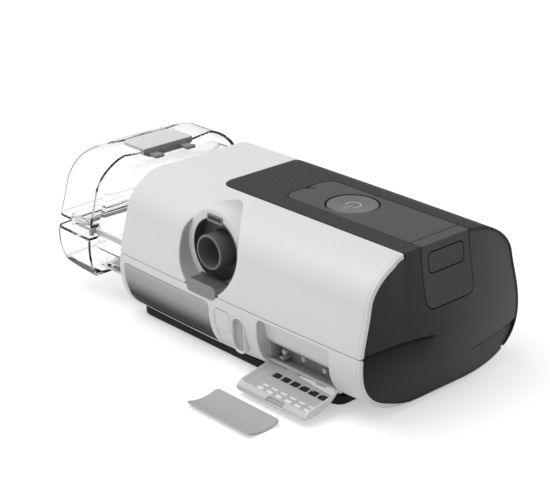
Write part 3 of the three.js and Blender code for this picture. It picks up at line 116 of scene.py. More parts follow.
def loop_at(side, z):
    """The length along the outline at which it reaches a height, on the display side (1) or the outlet side (-1)."""
    half = LOOP[: len(LOOP) // 2]
    at = np.interp(z, half[:, 2], half[:, 0])
    return at if side > 0 else ROUND - at


def rim_at(y, z, dip=1.0):
    """Where the housing ends: leaning back with height, and set back along the middle of the top by a share."""
    rise = 2 * z / HEIGHT - 1
    setback = dip * smooth((0.62 - np.abs(y) / HALF) / 0.24)
    return RIM - LEAN * rise - CURL * rise * rise - np.where(rise > 0, rise * DIP * setback, 0)


def rim_gap(x, y, z):
    """How far a point lies from the rim, along the machine."""
    return rim_at(y, z) - x


def body_points(x, along, lift=0.0):
    """Points of the housing form at arrays of x and length along the outline, raised by lift along the outline's
    normal, then swelled towards mid length and dropped at the underside."""
    along = np.mod(along, ROUND)
    y, z, ny, nz = (np.interp(along, LOOP[:, 0], LOOP[:, k]) for k in (1, 2, 3, 4))
    y, z = y + lift * ny, z + lift * nz
    centre = (MOUTH + RIM) / 2
    swell = SWELL / HALF * np.clip(1 - ((x - centre) / (RIM - centre)) ** 2, 0, None)
    sink = SINK * smooth((RIM - x) / (RIM - MOUTH) / 0.64) * smooth((SINK_TOP - z) / (SINK_TOP * 0.7))
    return stacked(x, y * (1 + swell), z - sink)


def even_grid(a0, a1, rows, b0, b1, columns):
    """Two arrays over rows and columns, the first even between its ends down the rows, the second along them."""
    return np.meshgrid(np.linspace(a0, a1, rows), np.linspace(b0, b1, columns), indexing="ij")


def body_grid(x0, x1, a0, a1, cell):
    """An even grid of housing points between two x and two lengths along the outline."""
    rows, columns = (max(3, int(round((high - low) / cell)) + 1) for low, high in ((x0, x1), (a0, a1)))
    return body_points(*even_grid(x0, x1, rows, a0, a1, columns))


def inside_box(a, b, a0, a1, b0, b1, corner):
    """How far inside a rectangle with rounded corners a point lies, negative outside."""
    qa = np.abs(a - (a0 + a1) / 2) - (a1 - a0) / 2 + corner
    qb = np.abs(b - (b0 + b1) / 2) - (b1 - b0) / 2 + corner
    return corner - np.hypot(np.maximum(qa, 0), np.maximum(qb, 0)) - np.minimum(np.maximum(qa, qb), 0)


def mesh_piece(name, points, faces, finish, body, slot, *nodes, flat=35):
    """A piece from points in millimetres and a list of face arrays: it rides a body and stands for CAD nodes; slot is
    not used. Edges sharper than flat degrees stay sharp."""
    data = bpy.data.meshes.new(name)
    faces = [tuple(face) for block in faces for face in np.asarray(block).tolist()]
    data.from_pydata((np.asarray(points) * 0.001).tolist(), [], faces)
    piece = bpy.data.objects.new(name, data)
    bpy.context.collection.objects.link(piece)
    data.materials.append(finish)
    data.shade_smooth()
    data.set_sharp_from_angle(angle=math.radians(flat))
    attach(piece, body)
    if nodes:
        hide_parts(*nodes)
    return piece


def trimmed(points, inside, edge, wall, flip=False, closed=False):
    """A surface grid cut off where inside falls below zero, its edge rounded over and turned in as a wall.

    Grid points within half a cell of the cut are moved onto it along the gradient of inside, faces with a point
    outside are dropped, and rings of the cut's points follow a quarter circle of the edge radius and the wall.
    Returns points and faces. closed adds the wall's back face, flip turns the surface's outer side round."""
    inside = inside - edge
    pu, pv = np.gradient(points, axis=(0, 1))
    fu, fv = np.gradient(inside)
    normal = np.cross(pv, pu) * (-1 if flip else 1)
    normal /= np.linalg.norm(normal, axis=-1, keepdims=True) + 1e-12
    steep = fu * fu + fv * fv + 1e-12
    du, dv = -inside * fu / steep, -inside * fv / steep
    on = (np.maximum(np.abs(du), np.abs(dv)) < 0.5) | (np.abs(inside) < 1e-6)
    moved = points + np.where(on, du, 0)[..., None] * pu + np.where(on, dv, 0)[..., None] * pv
    value = np.where(on, 0, inside)
    out = -(pu * (fu / (np.sum(pu * pu, -1) + 1e-12))[..., None]
            + pv * (fv / (np.sum(pv * pv, -1) + 1e-12))[..., None])
    out -= normal * np.sum(out * normal, -1, keepdims=True)
    out /= np.linalg.norm(out, axis=-1, keepdims=True) + 1e-12
    m, n = inside.shape
    index = np.arange(m * n).reshape(m, n)
    quad = np.stack([index[:-1, :-1], index[:-1, 1:], index[1:, 1:], index[1:, :-1]], -1).reshape(-1, 4)
    if flip:
        quad = quad[:, ::-1]
    v = value.ravel()[quad]
    centre = inside.ravel()[quad].mean(1)
    low = v.min(1)
    whole = (low > 0) | ((low == 0) & ((v.max(1) > 0) | (centre > 0)))
    split = (low < 0) & (v.max(1) > 0) & ((v < 0).sum(1) == 1)
    corner = np.argmin(v[split], 1)
    rest = (corner[:, None] + np.array([1, 2, 3])) % 4
    tris = np.take_along_axis(quad[split], rest, 1)
    quad = quad[whole]
    edges = np.vstack([quad[:, [0, 1]], quad[:, [1, 2]], quad[:, [2, 3]], quad[:, [3, 0]],
                       tris[:, [0, 1]], tris[:, [1, 2]], tris[:, [2, 0]]])
    key = np.sort(edges, 1)
    key = key[:, 0] * (m * n) + key[:, 1]
    _, first, count = np.unique(key, return_index=True, return_counts=True)
    border = edges[first[count == 1]]
    used, where = np.unique(np.concatenate([quad.ravel(), tris.ravel()]), return_inverse=True)
    base = moved.reshape(-1, 3)[used]
    normals, outs = normal.reshape(-1, 3), out.reshape(-1, 3)
    at, place = np.unique(border.ravel(), return_inverse=True)
    i, j = place.reshape(-1, 2).T
    start, o, nrm = moved.reshape(-1, 3)[at], outs[at], normals[at]
    depth = np.maximum(np.broadcast_to(wall, inside.shape).ravel()[at], edge)[:, None]
    rings = [start + edge * (np.sin(t) * o - (1 - np.cos(t)) * nrm) for t in np.radians([30, 60, 90])]
    rings.append(start + edge * o - depth * nrm)
    quad, tris = where[: quad.size].reshape(-1, 4), where[quad.size:].reshape(-1, 3)
    faces = [quad, tris]
    first_ring = previous = np.searchsorted(used, at)
    total = len(base)
    for ring in rings:
        this = total + np.arange(len(at))
        faces.append(np.stack([previous[j], previous[i], this[i], this[j]], -1))
        previous, total = this, total + len(at)
    stack = [base, *rings]
    if closed:
        under = base - float(np.mean(wall)) * normals[used]
        under[first_ring] = rings[-1]
        stack.append(under)
        faces += [(quad + total)[:, ::-1], (tris + total)[:, ::-1]]
        faces.append(np.stack([previous[j], previous[i], first_ring[i] + total, first_ring[j] + total], -1))
    return np.vstack(stack), faces


def trimmed_piece(name, grid, inside, edge, wall, finish, body, slot, *nodes, flip=False, closed=False, flat=35):
    """A piece from a trimmed surface grid."""
    points, faces = trimmed(grid, inside, edge, wall, flip, closed)
    return mesh_piece(name, points, faces, finish, body, slot, *nodes, flat=flat)


def feed(tree, node, values):
    """Gives inputs of a node their values: an output socket is linked, anything else is set."""
    for key, value in values.items():
        if isinstance(value, bpy.types.NodeSocket):
            tree.links.new(value, node.inputs[key])
        else:
            node.inputs[key].default_value = value
    return node


def add(tree, kind, values=None, **settings):
    """A new shader node of a kind, with its settings and its inputs' values."""
    node = tree.nodes.new("ShaderNode" + kind)
    for setting, value in settings.items():
        setattr(node, setting, value)
    return feed(tree, node, values or {})


def shader_group(name, *inputs, bump=False):
    """A node group that takes numbers and gives a tone, and with bump a normal: the group, its inputs' sockets and
    its output node."""
    group = bpy.data.node_groups.new(name, "ShaderNodeTree")
    for label in inputs:
        group.interface.new_socket(label, in_out="INPUT", socket_type="NodeSocketFloat")
    group.interface.new_socket("Tone", in_out="OUTPUT", socket_type="NodeSocketFloat")
    if bump:
        group.interface.new_socket("Normal", in_out="OUTPUT", socket_type="NodeSocketVector")
    return group, group.nodes.new("NodeGroupInput").outputs, group.nodes.new("NodeGroupOutput")


def tone_about_one(tree, value, amount, low=0.0, high=1.0):
    """Maps a value from low and high to one less an amount and one plus it."""
    bottom, top = (add(tree, "Math", {0: 1, 1: amount}, operation=way) for way in ("SUBTRACT", "ADD"))
    return add(tree, "MapRange", {"Value": value, "From Min": low, "From Max": high, "To Min": bottom.outputs[0],
                                  "To Max": top.outputs[0]}).outputs["Result"]


def fine_grain():
    """A node group: slow and fine noise on object coordinates, as a small colour factor and a bump height."""
    group, given, result = shader_group("fine_grain", "Scale", "Amount", "Bump", bump=True)
    place = add(group, "TexCoord").outputs["Object"]
    slow = add(group, "TexNoise", {"Vector": place, "Scale": 30, "Detail": 3})
    fine = add(group, "TexNoise", {"Vector": place, "Scale": given["Scale"], "Detail": 2})
    bump = add(group, "Bump", {"Distance": 0.0002, "Height": fine.outputs["Fac"], "Strength": given["Bump"]})
    feed(group, result, {"Tone": tone_about_one(group, slow.outputs["Fac"], given["Amount"]),
                         "Normal": bump.outputs["Normal"]})
    return group


GRAIN = fine_grain()


def plastic(name, color, roughness, grain=900, amount=0.03, bump=0.15, metallic=0.0, gloss=0.5):
    """A moulded plastic: its colour varied a little by the grain group, which also gives a faint surface bump."""
    made = bpy.data.materials.new(name)
    made.use_nodes = True
    tree = made.node_tree
    group = add(tree, "Group", {"Scale": grain, "Amount": amount, "Bump": bump}, node_tree=GRAIN).outputs
    tinted = add(tree, "VectorMath", {0: color, "Scale": group["Tone"]}, operation="SCALE")
    feed(tree, tree.nodes["Principled BSDF"], {
        "Base Color": tinted.outputs["Vector"], "Normal": group["Normal"], "Roughness": roughness,
        "Metallic": metallic, "Specular IOR Level": gloss})
    return made


def graded(material, source, low, high, stops):
    """Multiplies a plastic's colour by a ramp of (position, tone) stops over a range of a value: a letter takes that
    axis of the object coordinates, a name takes the attribute of that name."""
    tree = material.node_tree
    shader = tree.nodes["Principled BSDF"]
    if source in "XYZ":
        value = add(tree, "SeparateXYZ", {0: add(tree, "TexCoord").outputs["Object"]}).outputs[source]
    else:
        value = add(tree, "Attribute", attribute_name=source).outputs["Fac"]
    span = add(tree, "MapRange", {"Value": value, "From Min": low, "From Max": high})
    ramp = add(tree, "ValToRGB", {"Fac": span.outputs["Result"]})
    ends = ramp.color_ramp.elements
    for at, tone in stops:
        stop = ends.new(at) if 0 < at < 1 else ends[0 if at == 0 else -1]
        stop.color = (tone, tone, tone, 1)
    color = shader.inputs["Base Color"].links[0].from_socket
    tint = add(tree, "VectorMath", {0: ramp.outputs["Color"], 1: color}, operation="MULTIPLY")
    feed(tree, shader, {"Base Color": tint.outputs["Vector"]})
    return material


def with_value(piece, name, field):
    """Keeps a value at each point of a piece as an attribute: field works on arrays of x, y and z in millimetres."""
    points = np.empty(len(piece.data.vertices) * 3)
    piece.data.vertices.foreach_get("co", points)
    values = field(*(points.reshape(-1, 3) * 1000).T)
    piece.data.attributes.new(name, "FLOAT", "POINT").data.foreach_set("value", values.astype(np.float32))


def white_plastic(name):
    """The housing's white plastic under a name of its own, so that a piece can shade it further."""
    return plastic(name, (0.72, 0.72, 0.722), 0.38, amount=0.012, bump=0.05)


white = white_plastic("white_plastic")
# Painted shade along the casing's rim: a grey line about 2.5 mm in from the rim, where the edge curls in.
white_rim_shade_line = graded(white_plastic("white_plastic_rim_shade_line"), "rim_gap", 0, 5,
                     ((0.0, 0.97), (0.44, 0.97), (0.5, 0.72), (0.58, 1.0), (1.0, 1.0)))
FASCIA_X, FASCIA_Y, FASCIA_LOW, FASCIA_CORNER = -43, -27, 12, 11  # its edges in x, y and z, and the corner in plan
OUTLET = np.array([-11.6, 0, 67.3])
DISH = 26.05  # radius of the outlet's recess


def in_fascia(p, grow=0.0):
    """How far inside the dark fascia's area: a rectangle in plan with one rounded corner, down to a low edge."""
    plan = inside_box(p[..., 0], p[..., 1], FASCIA_X - grow, FAR, FASCIA_Y - grow, FAR, FASCIA_CORNER)
    return np.minimum(plan, (p[..., 2] - FASCIA_LOW + grow) / 0.9)


def outlet_distance(p):
    """Distance from the outlet's axis, far away for points on the display side."""
    return np.where(p[..., 1] < 0, np.hypot(p[..., 0] - OUTLET[0], p[..., 2] - OUTLET[2]), FAR)


def casing_shell(name, grid, keep, edge, wall):
    """One half of the casing where keep is above zero, cut off at its ends and round the fascia and the outlet."""
    x, y, z = np.moveaxis(grid, -1, 0)
    keep = np.minimum.reduce([keep, x - MOUTH, rim_gap(x, y, z), -in_fascia(grid, JOINT),
                              outlet_distance(grid) - DISH])
    shell = trimmed_piece(name + "_shell", grid, keep, edge, wall, white_rim_shade_line, "housing", "white_housing", name)
    with_value(shell, "rim_gap", rim_gap)


upper = body_grid(-95, 124, loop_at(1, SEAM - 2), loop_at(-1, SEAM - 2), 1.25)
casing_shell("upper_casing", upper, upper[..., 2] - SEAM - JOINT / 2, 0.6, WALL)

# The openings for the rating plate, notice plate, power inlet and filter bay: x and z from and to, and corner.
OPENINGS = ((-88.5, -4.5, 8.2, 38.7, 2.3), (1.0, 14.7, 12.7, 37.7, 2.3), (16.3, 28.5, 13.7, 38.3, 6.1),
            (38.7, 97.8, 11.2, 41.9, 3.3))
TRAY = -88, 94, -57, 57, 8  # x and y from and to, and corner of the opening for the black base
TRAY_LEVEL, TRAY_FROM = 6.0, 72  # the casing stops at this level, and past this x only where the base stands
start, end = loop_at(-1, SEAM + 2), loop_at(1, SEAM + 2) + ROUND
down = np.r_[np.arange(start, start + 6, 0.4), np.linspace(start + 6, end, int((end - start - 6) / 1.25))]
along = np.r_[np.linspace(-95, 13, 87)[:-1], np.arange(13, 18, 0.4), np.linspace(18, 124, 86)]
lower = body_points(*np.meshgrid(along, down, indexing="ij"))
x, y, z = np.moveaxis(lower, -1, 0)
tray = inside_box(x, y, *TRAY)
openings = [np.where(y < 0, inside_box(x, z, *opening), -FAR) for opening in OPENINGS]
keep = np.minimum.reduce([SEAM - JOINT / 2 - z, -np.maximum.reduce(openings),
                          np.maximum(z - TRAY_LEVEL, np.where(x > TRAY_FROM, -tray - JOINT, -FAR))])
beside_rim = (rim_gap(x, y, z) < 4) & (z < 30)
wall = np.where(openings[-1] > -3, 1.0, WALL - 2.1 * beside_rim * smooth((y + 50) / 26))
casing_shell("lower_casing", lower, keep, 0.5, wall)


# Air outlet
# A white hood stands out of the shoulder round a dark cavity with the outlet tube. A grey lining fills the
# recess round it, with a soft plug above the tube and a sprung clip below that holds the hose cuff.
outlet_grey = plastic("outlet_grey", (0.4, 0.402, 0.406), 0.4, amount=0.02)
cavity_dark = plastic("cavity_dark", (0.06, 0.06, 0.062), 0.4, amount=0.03, gloss=0.3)
tube_dark = plastic("tube_dark", (0.12, 0.12, 0.122), 0.35, amount=0.03)


def turned_about_outlet(profile, steps=96, start=0.0, end=2 * np.pi):
    """A surface of (radius, y) profile points turned about the outlet's axis. Its outer side is on the left of the
    profile as it runs."""
    r, y = np.asarray(profile, float).T[:, :, None]
    turn = np.linspace(start, end, steps + 1)
    return stacked(OUTLET[0] + r * np.cos(turn), y, OUTLET[2] + r * np.sin(turn))


def rounded_profile(points, radius=0.5, steps=4):
    """A profile with each inner corner replaced by a quadratic curve that starts and ends a radius away from it."""
    points = np.asarray(points, float)
    t = np.linspace(0, 1, steps + 1)[:, None]
    out = [points[:1]]
    for a, b, c in zip(points[:-2], points[1:-1], points[2:]):
        r = min(radius, np.linalg.norm(a - b) / 2, np.linalg.norm(c - b) / 2)
        p, q = b + (a - b) / np.linalg.norm(a - b) * r, b + (c - b) / np.linalg.norm(c - b) * r
        out.append((1 - t) ** 2 * p + 2 * t * (1 - t) * b + t * t * q)
    out.append(points[-1:])
    return np.vstack(out)


def half_width(x, z, lift=0.0):
    """Half the width of the housing form, raised by lift along its normal, at one x and arrays of height."""
    form = body_points(np.full(len(LOOP), float(x)), LOOP[:, 0], lift)[: len(LOOP) // 2 + 1]
    return np.interp(z, form[:, 2], form[:, 1])


def side_y(x, z):
    """Where the outlet side's surface stands at x and z: one x and arrays of z, or arrays of both."""
    if np.ndim(x):
        return np.array([side_y(*at) for at in zip(x, z)])
    return -half_width(x, z)


def grid_faces(rows, columns, first=0, ring=False):
    """The quads of a grid of points, numbered row by row. In a ring the last column joins the first."""
    index = first + np.arange(rows * columns).reshape(rows, columns)
    if ring:
        index = np.hstack([index, index[:, :1]])
    return np.stack([index[:-1, :-1], index[1:, :-1], index[1:, 1:], index[:-1, 1:]], -1).reshape(-1, 4)


def grid_piece(name, grid, finish, body, slot, *nodes, ring=False, flip=False, flat=35):
    """A piece from one grid of points. flip turns its outer side round."""
    faces = grid_faces(*grid.shape[:2], ring=ring)
    return mesh_piece(name, grid.reshape(-1, 3), [faces[:, ::-1] if flip else faces], finish, body, slot, *nodes,
                      flat=flat)


def face_middles(piece):
    """The x, y and z of each face's middle in millimetres."""
    middles = np.empty(len(piece.data.polygons) * 3)
    piece.data.polygons.foreach_get("center", middles)
    return middles.reshape(-1, 3).T * 1000


def finish_faces(piece, kinds, *finishes):
    """Adds finishes to a piece and gives each face the one that its kind counts, 0 being the piece's first."""
    for finish in finishes:
        piece.data.materials.append(finish)
    piece.data.polygons.foreach_set("material_index", kinds.astype(np.int32))


hood = rounded_profile([(20.1, -57), (20.1, -58), (26.4, -58), (26.4, -49), (27.2, -43), (27.2, -38)], 1.6, 6)
# Painted shade on the hood: its white darkens towards the back, where it meets the casing.
hood_white_painted_shade = graded(white_plastic("hood_white_painted_shade"), "Y", -0.058, -0.040,
                    ((0.0, 1.0), (0.3, 1.0), (0.62, 0.84), (1.0, 0.66)))
grid_piece("outlet_hood", turned_about_outlet(hood, 128), hood_white_painted_shade, "housing", "white_housing")

PLUG = -18.6, -4.6, 84.8, 90.0, 1.2  # x and z from and to, and corner
x, z = even_grid(-20, -3, 60, 83, 92, 32)
plug_inside = inside_box(x, z, *PLUG)
plug_grid = stacked(x, -58.1 - 0.55 * (1 - smooth((plug_inside - 1.1) / 0.3)), z)
plug_grey = plastic("plug_grey", (0.2, 0.202, 0.206), 0.55, amount=0.04)
plug = trimmed_piece("outlet_plug_block", plug_grid, plug_inside, 0.3, 2.6, plug_grey, "housing", "outlet_grey",
                     "outlet_plug", flip=True, closed=True)
x, y, z = face_middles(plug)
# Painted shade: the plug's sunk middle is painted near black for the dark inside its slot.
finish_faces(plug, (inside_box(x, z, *PLUG) > 1.25) & (y < -57),
             plastic("plug_slot_painted_shade", (0.03, 0.03, 0.031), 0.6, amount=0.04))

cavity = rounded_profile([(11.6, -51.1), (19.7, -51.1), (19.7, -58.1), (20.3, -58.1), (20.4, -57.9)], 0.4, 4)
grid_piece("outlet_cavity_lining", turned_about_outlet(cavity), cavity_dark, "housing", "tube_dark")
rim = rounded_profile([(19.9, -57.9), (20.0, -58.3), (20.9, -58.3), (21.1, -57.9)], 0.3, 4)
grid_piece("outlet_cavity_rim", turned_about_outlet(rim, 96, math.radians(-118), math.radians(72)),
           plastic("rim_grey", (0.16, 0.161, 0.165), 0.4), "housing", "outlet_grey")

LINING, LINING_RISE, LINING_BACK = 25.9, 14.7, -57.9  # radius, how far it turns up at its ends, and rear y
turn_up = math.asin(LINING_RISE / LINING)
around = np.linspace(-math.pi - turn_up, turn_up, 97)
lining_x, lining_z = OUTLET[0] + LINING * np.cos(around), OUTLET[2] + LINING * np.sin(around)
outer_y = np.minimum(side_y(lining_x, lining_z) + 0.25, LINING_BACK - 0.5)
# How far each row is drawn in, and its share of the way back.
draw, share = np.array([(0, 0), (0.25, 0.02), (0.6, 0.5), (0.6, 1.0)]).T[:, :, None]
lining = stacked(OUTLET[0] + (LINING + 0.05 - draw) * np.cos(around), outer_y + (LINING_BACK - outer_y) * share,
                 OUTLET[2] + (LINING + 0.05 - draw) * np.sin(around))
grid_piece("outlet_dish_lining", lining, outlet_grey, "housing", "outlet_grey", "outlet_dish", flip=True)
shelf_y, shelf_z = np.array([(-60.0, 49.1), (-59.9, 49.35), (-57.8, 49.35), (-57.7, 49.1)]).T
shelf = stacked(np.array([-24.6, -11.6, 1.4])[:, None], shelf_y, shelf_z)
grid_piece("outlet_shelf", shelf, cavity_dark, "housing", "outlet_grey")


def mixed(material, factor, color):
    """Mixes a second colour into a plastic's own by a factor's socket."""
    tree = material.node_tree
    mix = add(tree, "Mix", {"Factor": factor, "A": tree.nodes["Vector Math"].outputs["Vector"], "B": (*color, 1)},
              data_type="RGBA")
    feed(tree, tree.nodes["Principled BSDF"], {"Base Color": mix.outputs["Result"]})


def shaded_top(material, top):
    """Mixes a second colour in where a surface faces up: painted shade on a part's upper side."""
    tree = material.node_tree
    up = add(tree, "SeparateXYZ", {0: add(tree, "NewGeometry").outputs["Normal"]}).outputs["Z"]
    mixed(material, add(tree, "MapRange", {"Value": up, "From Min": 0.3, "From Max": 0.8}).outputs["Result"], top)
    return material


dressed = set()


def dress(finish, *names):
    """Gives carried-over nodes their finish."""
    dressed.update(names)
    for name in names:
        for holder in frame["nodes"][name].material_slots:
            holder.material = finish


clip_grey_top_shaded = plastic("clip_grey_top_shaded", (0.23, 0.232, 0.236), 0.45, amount=0.03)
# The clip's top is painted darker as shade.
dress(shaded_top(clip_grey_top_shaded, (0.1, 0.101, 0.103)), "outlet_clip")
dress(tube_dark, "outlet_tube")


# Rear plates and power inlet
# A film plate, its colour a painted reflection that is near black at the bottom and mid grey at the top, and a pale
# notice plate, both left bare, are stuck into shallow recesses. The inlet has a raised pale ring round a grey cup.
film = plastic("rating_film_painted_reflection", (1, 1, 1), 0.5, amount=0.03, bump=0.02, gloss=0.05)
# Painted reflection: the film's colour runs from near black at the bottom to mid grey at the top.
graded(film, "Z", 0.0085, 0.0384,
       ((0.0, 0.004), (0.16, 0.012), (0.36, 0.08), (0.52, 0.24), (0.72, 0.42), (1.0, 0.5)))
dress(film, "rating_plate")
dress(white, "notice_plate")

# The inlet's middle, the radius of its ends and half the length between their centres.
INLET_X, INLET_Z, INLET_END, INLET_STRAIGHT = 22.4, 26, 5.8, 6.2


def slot_surface(rows, columns=64):
    """A surface round the inlet from rows of (margin, height above the casing's surface, share of the outline). The
    outline is a slot with half-round ends, grown by the margin."""
    t = np.linspace(0, 2 * np.pi, columns, endpoint=False)
    straight = INLET_STRAIGHT * np.sign(np.sin(t)) * np.minimum(1, np.abs(np.sin(t)) * 6)
    margin, proud, share = np.array(rows).T[:, :, None]
    x = INLET_X + (INLET_END + margin) * np.cos(t) * share
    z = INLET_Z + ((INLET_END + margin) * np.sin(t) + straight) * share
    face = side_y(INLET_X, z)
    return stacked(x, face + 0.7 * np.minimum(side_y(INLET_X, 34.0) - face, 0) - proud, z)


ring = slot_surface([(0.4, -5.0, 1), (0.3, 0.1, 1), (0.05, 0.4, 1), (-0.3, 0.5, 1), (-0.65, 0.4, 1), (-0.95, 0.1, 1),
                     (-1.05, -0.6, 1), (-1.1, -1.6, 1)])
grid_piece("power_inlet_ring", ring, white, "housing", "white_housing", "inlet_bezel", ring=True, flat=60)
cup = slot_surface([(-1.0, -0.7, 1), (-1.1, -1.3, 1), (-1.4, -1.6, 1), (-1.8, -1.7, 0.9), (-1.8, -1.7, 0.5),
                    (-1.8, -1.7, 0.02)])
grid_piece("power_inlet_cup", cup, plastic("inlet_grey", (0.42, 0.41, 0.38), 0.5, amount=0.02), "housing",
           "outlet_grey", "inlet_socket", ring=True)


# Filter bay
# A grey moulded box behind the cover's opening, with a ledge above and four posts that hold the filter. Its grey
# carries painted shade: darker low down and deeper in, lighter on the upper ledge and at the front.
filter_grey = plastic("filter_grey", (0.56, 0.56, 0.565), 0.42, amount=0.02)
bay_painted_shade = plastic("filter_bay_painted_shade", (1, 1, 1), 0.5, amount=0.02)
# Painted shade in the bay: darker low down and deeper in, lighter higher up and at the mouth.
graded(bay_painted_shade, "Z", 0.0115, 0.0416, ((0.0, 0.34), (0.5, 0.38), (0.58, 0.66), (1.0, 0.72)))
graded(bay_painted_shade, "Y", -0.0594, -0.050, ((0.0, 1.25), (0.12, 1.2), (0.5, 0.95), (1.0, 0.7)))
dress(bay_painted_shade, "filter_bay")
dress(filter_grey, "cover_hinge_pin_1", "cover_hinge_pin_2")
# The bay's mouth in x and z: its middle, half its size and its corner.
BAY, BAY_HALF, BAY_CORNER = np.array([68.25, 26.55]), np.array([29.4, 15.2]), 3.2
t = np.linspace(0, 2 * np.pi, 160, endpoint=False)
way = stacked(np.cos(t), np.sin(t))
mouth = way / np.max(np.abs(way) / BAY_HALF, axis=1)[:, None]
over = np.maximum(np.abs(mouth) - BAY_HALF + BAY_CORNER, 0)
pull = np.minimum(1, BAY_CORNER / np.maximum(np.hypot(*over.T), 1e-9))
mouth -= np.sign(mouth) * over * np.where(over.min(1) > 0, 1 - pull, 0)[:, None]
mouth_x, mouth_z = (BAY + mouth).T
throat = stacked(mouth_x, side_y(mouth_x, mouth_z) + np.array([0.6, 3, 6, 9.5])[:, None], mouth_z)
grid_piece("filter_bay_throat", throat, filter_grey, "housing", "filter_grey", ring=True)


# Filter cover
# A white curved skin with a grey inner plate: a row of through slots, drawn as shallow pockets whose floors are
# painted near black as the shade inside them; two rows of louvres, drawn as shallow pockets whose floors are painted
# light as the light showing through them;
# and a sloping near edge with a finger notch whose sunk face is painted darker as shadow. It hangs on two pins at its
# lower edge, open here.
HINGE = np.array([-60.3, 13.4])  # y and z


def opened(points):
    """Points of the shut cover swung open by a quarter turn about the hinge."""
    y, z = points[..., 1] - HINGE[0], points[..., 2] - HINGE[1]
    return stacked(points[..., 0], HINGE[0] - z, HINGE[1] + y)


def band(outlines, ys, name, finish, body, slot, *nodes):
    """A bar along Y: one outline of (x, z) points, or one for each y, joined up and closed by flat ends."""
    outlines = np.asarray(outlines, float)
    points = stacked(outlines[..., 0], np.asarray(ys, float)[:, None], outlines[..., 1])
    index = np.arange(points[..., 0].size).reshape(points.shape[:2])
    wrap = np.roll(index, -1, axis=1)
    sides = np.stack([index[:-1], wrap[:-1], wrap[1:], index[1:]], -1).reshape(-1, 4)
    return mesh_piece(name, points.reshape(-1, 3), [sides, index[:1, ::-1], index[-1:]], finish, body, slot,
                      *nodes)


start, end = loop_at(-1, 43), loop_at(-1, 12)
skin = body_grid(38, 99, start, end + 3, 0.9)
skin_inside = inside_box(skin[..., 0], skin[..., 2], 39.4, 97.1, 13.6, 41.2, 3)
points, faces = trimmed(skin, skin_inside, 0.4, 1.2, closed=True)
mesh_piece("filter_cover_skin", opened(points), faces, white, "filter_door", "white_housing", "filter_cover")

# The inner plate's line in y and z, from the hinge out to its near edge.
PLATE = np.array([(-60.8, 12.0), (-68.4, 10.5), (-78.4, 8.5), (-83.6, 7.5), (-84.3, 7.2), (-87.3, 6.1), (-87.7, 5.2),
                  (-87.6, 4.2)])
run = np.r_[0, np.cumsum(np.hypot(*np.diff(PLATE, axis=0).T))]
x, v = even_grid(39.9, 96.7, 150, 0, run[-1], 74)
y, z = np.interp(v, run, PLATE[:, 0]), np.interp(v, run, PLATE[:, 1])


def row_of_six(first, pitch, width, low, high, corner):
    """How far inside the nearest of six rounded boxes in a row a point of the plate lies."""
    return np.maximum.reduce([inside_box(x, y, start, start + width, low, high, corner)
                              for start in first + pitch * np.arange(6)])


slots = row_of_six(51.2, 7.68, 6.2, -70.5, -66.4, 0.9)
louvres = np.maximum(row_of_six(52.6, 7.68, 5.2, -79.4, -77.5, 0.7), row_of_six(51.7, 7.8, 5.2, -83.2, -81.3, 0.7))
notch = inside_box(x, y, 64.5, 78.5, -89.0, -84.6, 1.2)
raised = 0.9 * smooth((44 - x) / 3.5) + 0.5 * smooth((x - 95.4) / 0.9)
sunk = 1.1 * smooth((slots + 0.2) / 0.5) + 0.7 * smooth((louvres + 0.2) / 0.5) + 0.9 * smooth((notch + 0.3) / 0.9)
plate = stacked(x, y + 0.6 * smooth((notch + 0.3) / 0.9), z + raised * smooth((y + 87.5) / 3) - sunk)
plate_grey = plastic("cover_plate_grey", (0.46, 0.46, 0.465), 0.5, amount=0.02)
piece = grid_piece("filter_cover_plate", plate, plate_grey, "filter_door", "filter_grey")
corners = grid_faces(*plate.shape[:2])
kind = np.zeros(len(corners))
for number, field in enumerate((slots, louvres, -83.9 - y, notch - 0.1), 1):
    kind[field.reshape(-1)[corners].mean(1) > 0] = number
# Painted light and shade on the plate: slot floors near black as shade, louvre floors light as light showing through,
# the notch darker as shadow.
finish_faces(piece, kind, plastic("cover_slot_painted_shade", (0.006, 0.006, 0.006), 0.8),
             plastic("cover_louvre_painted_light", (0.8, 0.8, 0.8), 0.6),
             plastic("cover_lip_white", (0.6, 0.6, 0.602), 0.42, amount=0.012),
             plastic("cover_notch_painted_shadow", (0.36, 0.36, 0.365), 0.5))

for side, x0, x1 in (("left", 39.5, 40.5), ("right", 96.1, 97.1)):
    ys = np.linspace(-87.4, -61.2, 40)
    low = HINGE[1] - HINGE[0] + side_y(x0, HINGE[1] + HINGE[0] - ys)
    high = np.maximum(np.interp(-ys, -PLATE[:, 0], PLATE[:, 1]) + 0.9 * smooth((ys + 87.6) / 3), low + 1.2)
    outlines = [[(x1, a), (x1, b), (x0, b), (x0, a)] for a, b in zip(low + 0.2, high)]
    band(outlines, ys, f"filter_cover_{side}_end", white, "filter_door", "white_housing")
turn = np.linspace(0, 2 * np.pi, 24, endpoint=False)
along, r = np.array([(40.6, 0.02), (40.6, 1.3), (96.0, 1.3), (96.0, 0.02)]).T[:, :, None]
barrel = stacked(along, HINGE[0] + r * np.cos(turn), HINGE[1] + r * np.sin(turn))
grid_piece("filter_cover_barrel", barrel, plate_grey, "filter_door", "filter_grey", ring=True, flip=True)
for number, (x0, x1) in enumerate(((56.5, 65.5), (80.5, 88.5)), 1):
    outline = [(x0, 10.8), (x1, 10.8), (x1, 13.2), (x1 - 0.6, 13.6), (x0 + 0.6, 13.6), (x0, 13.2)]
    band(outline, (-62.4, -59.6), f"filter_cover_tab_{number}", plate_grey, "filter_door", "filter_grey")


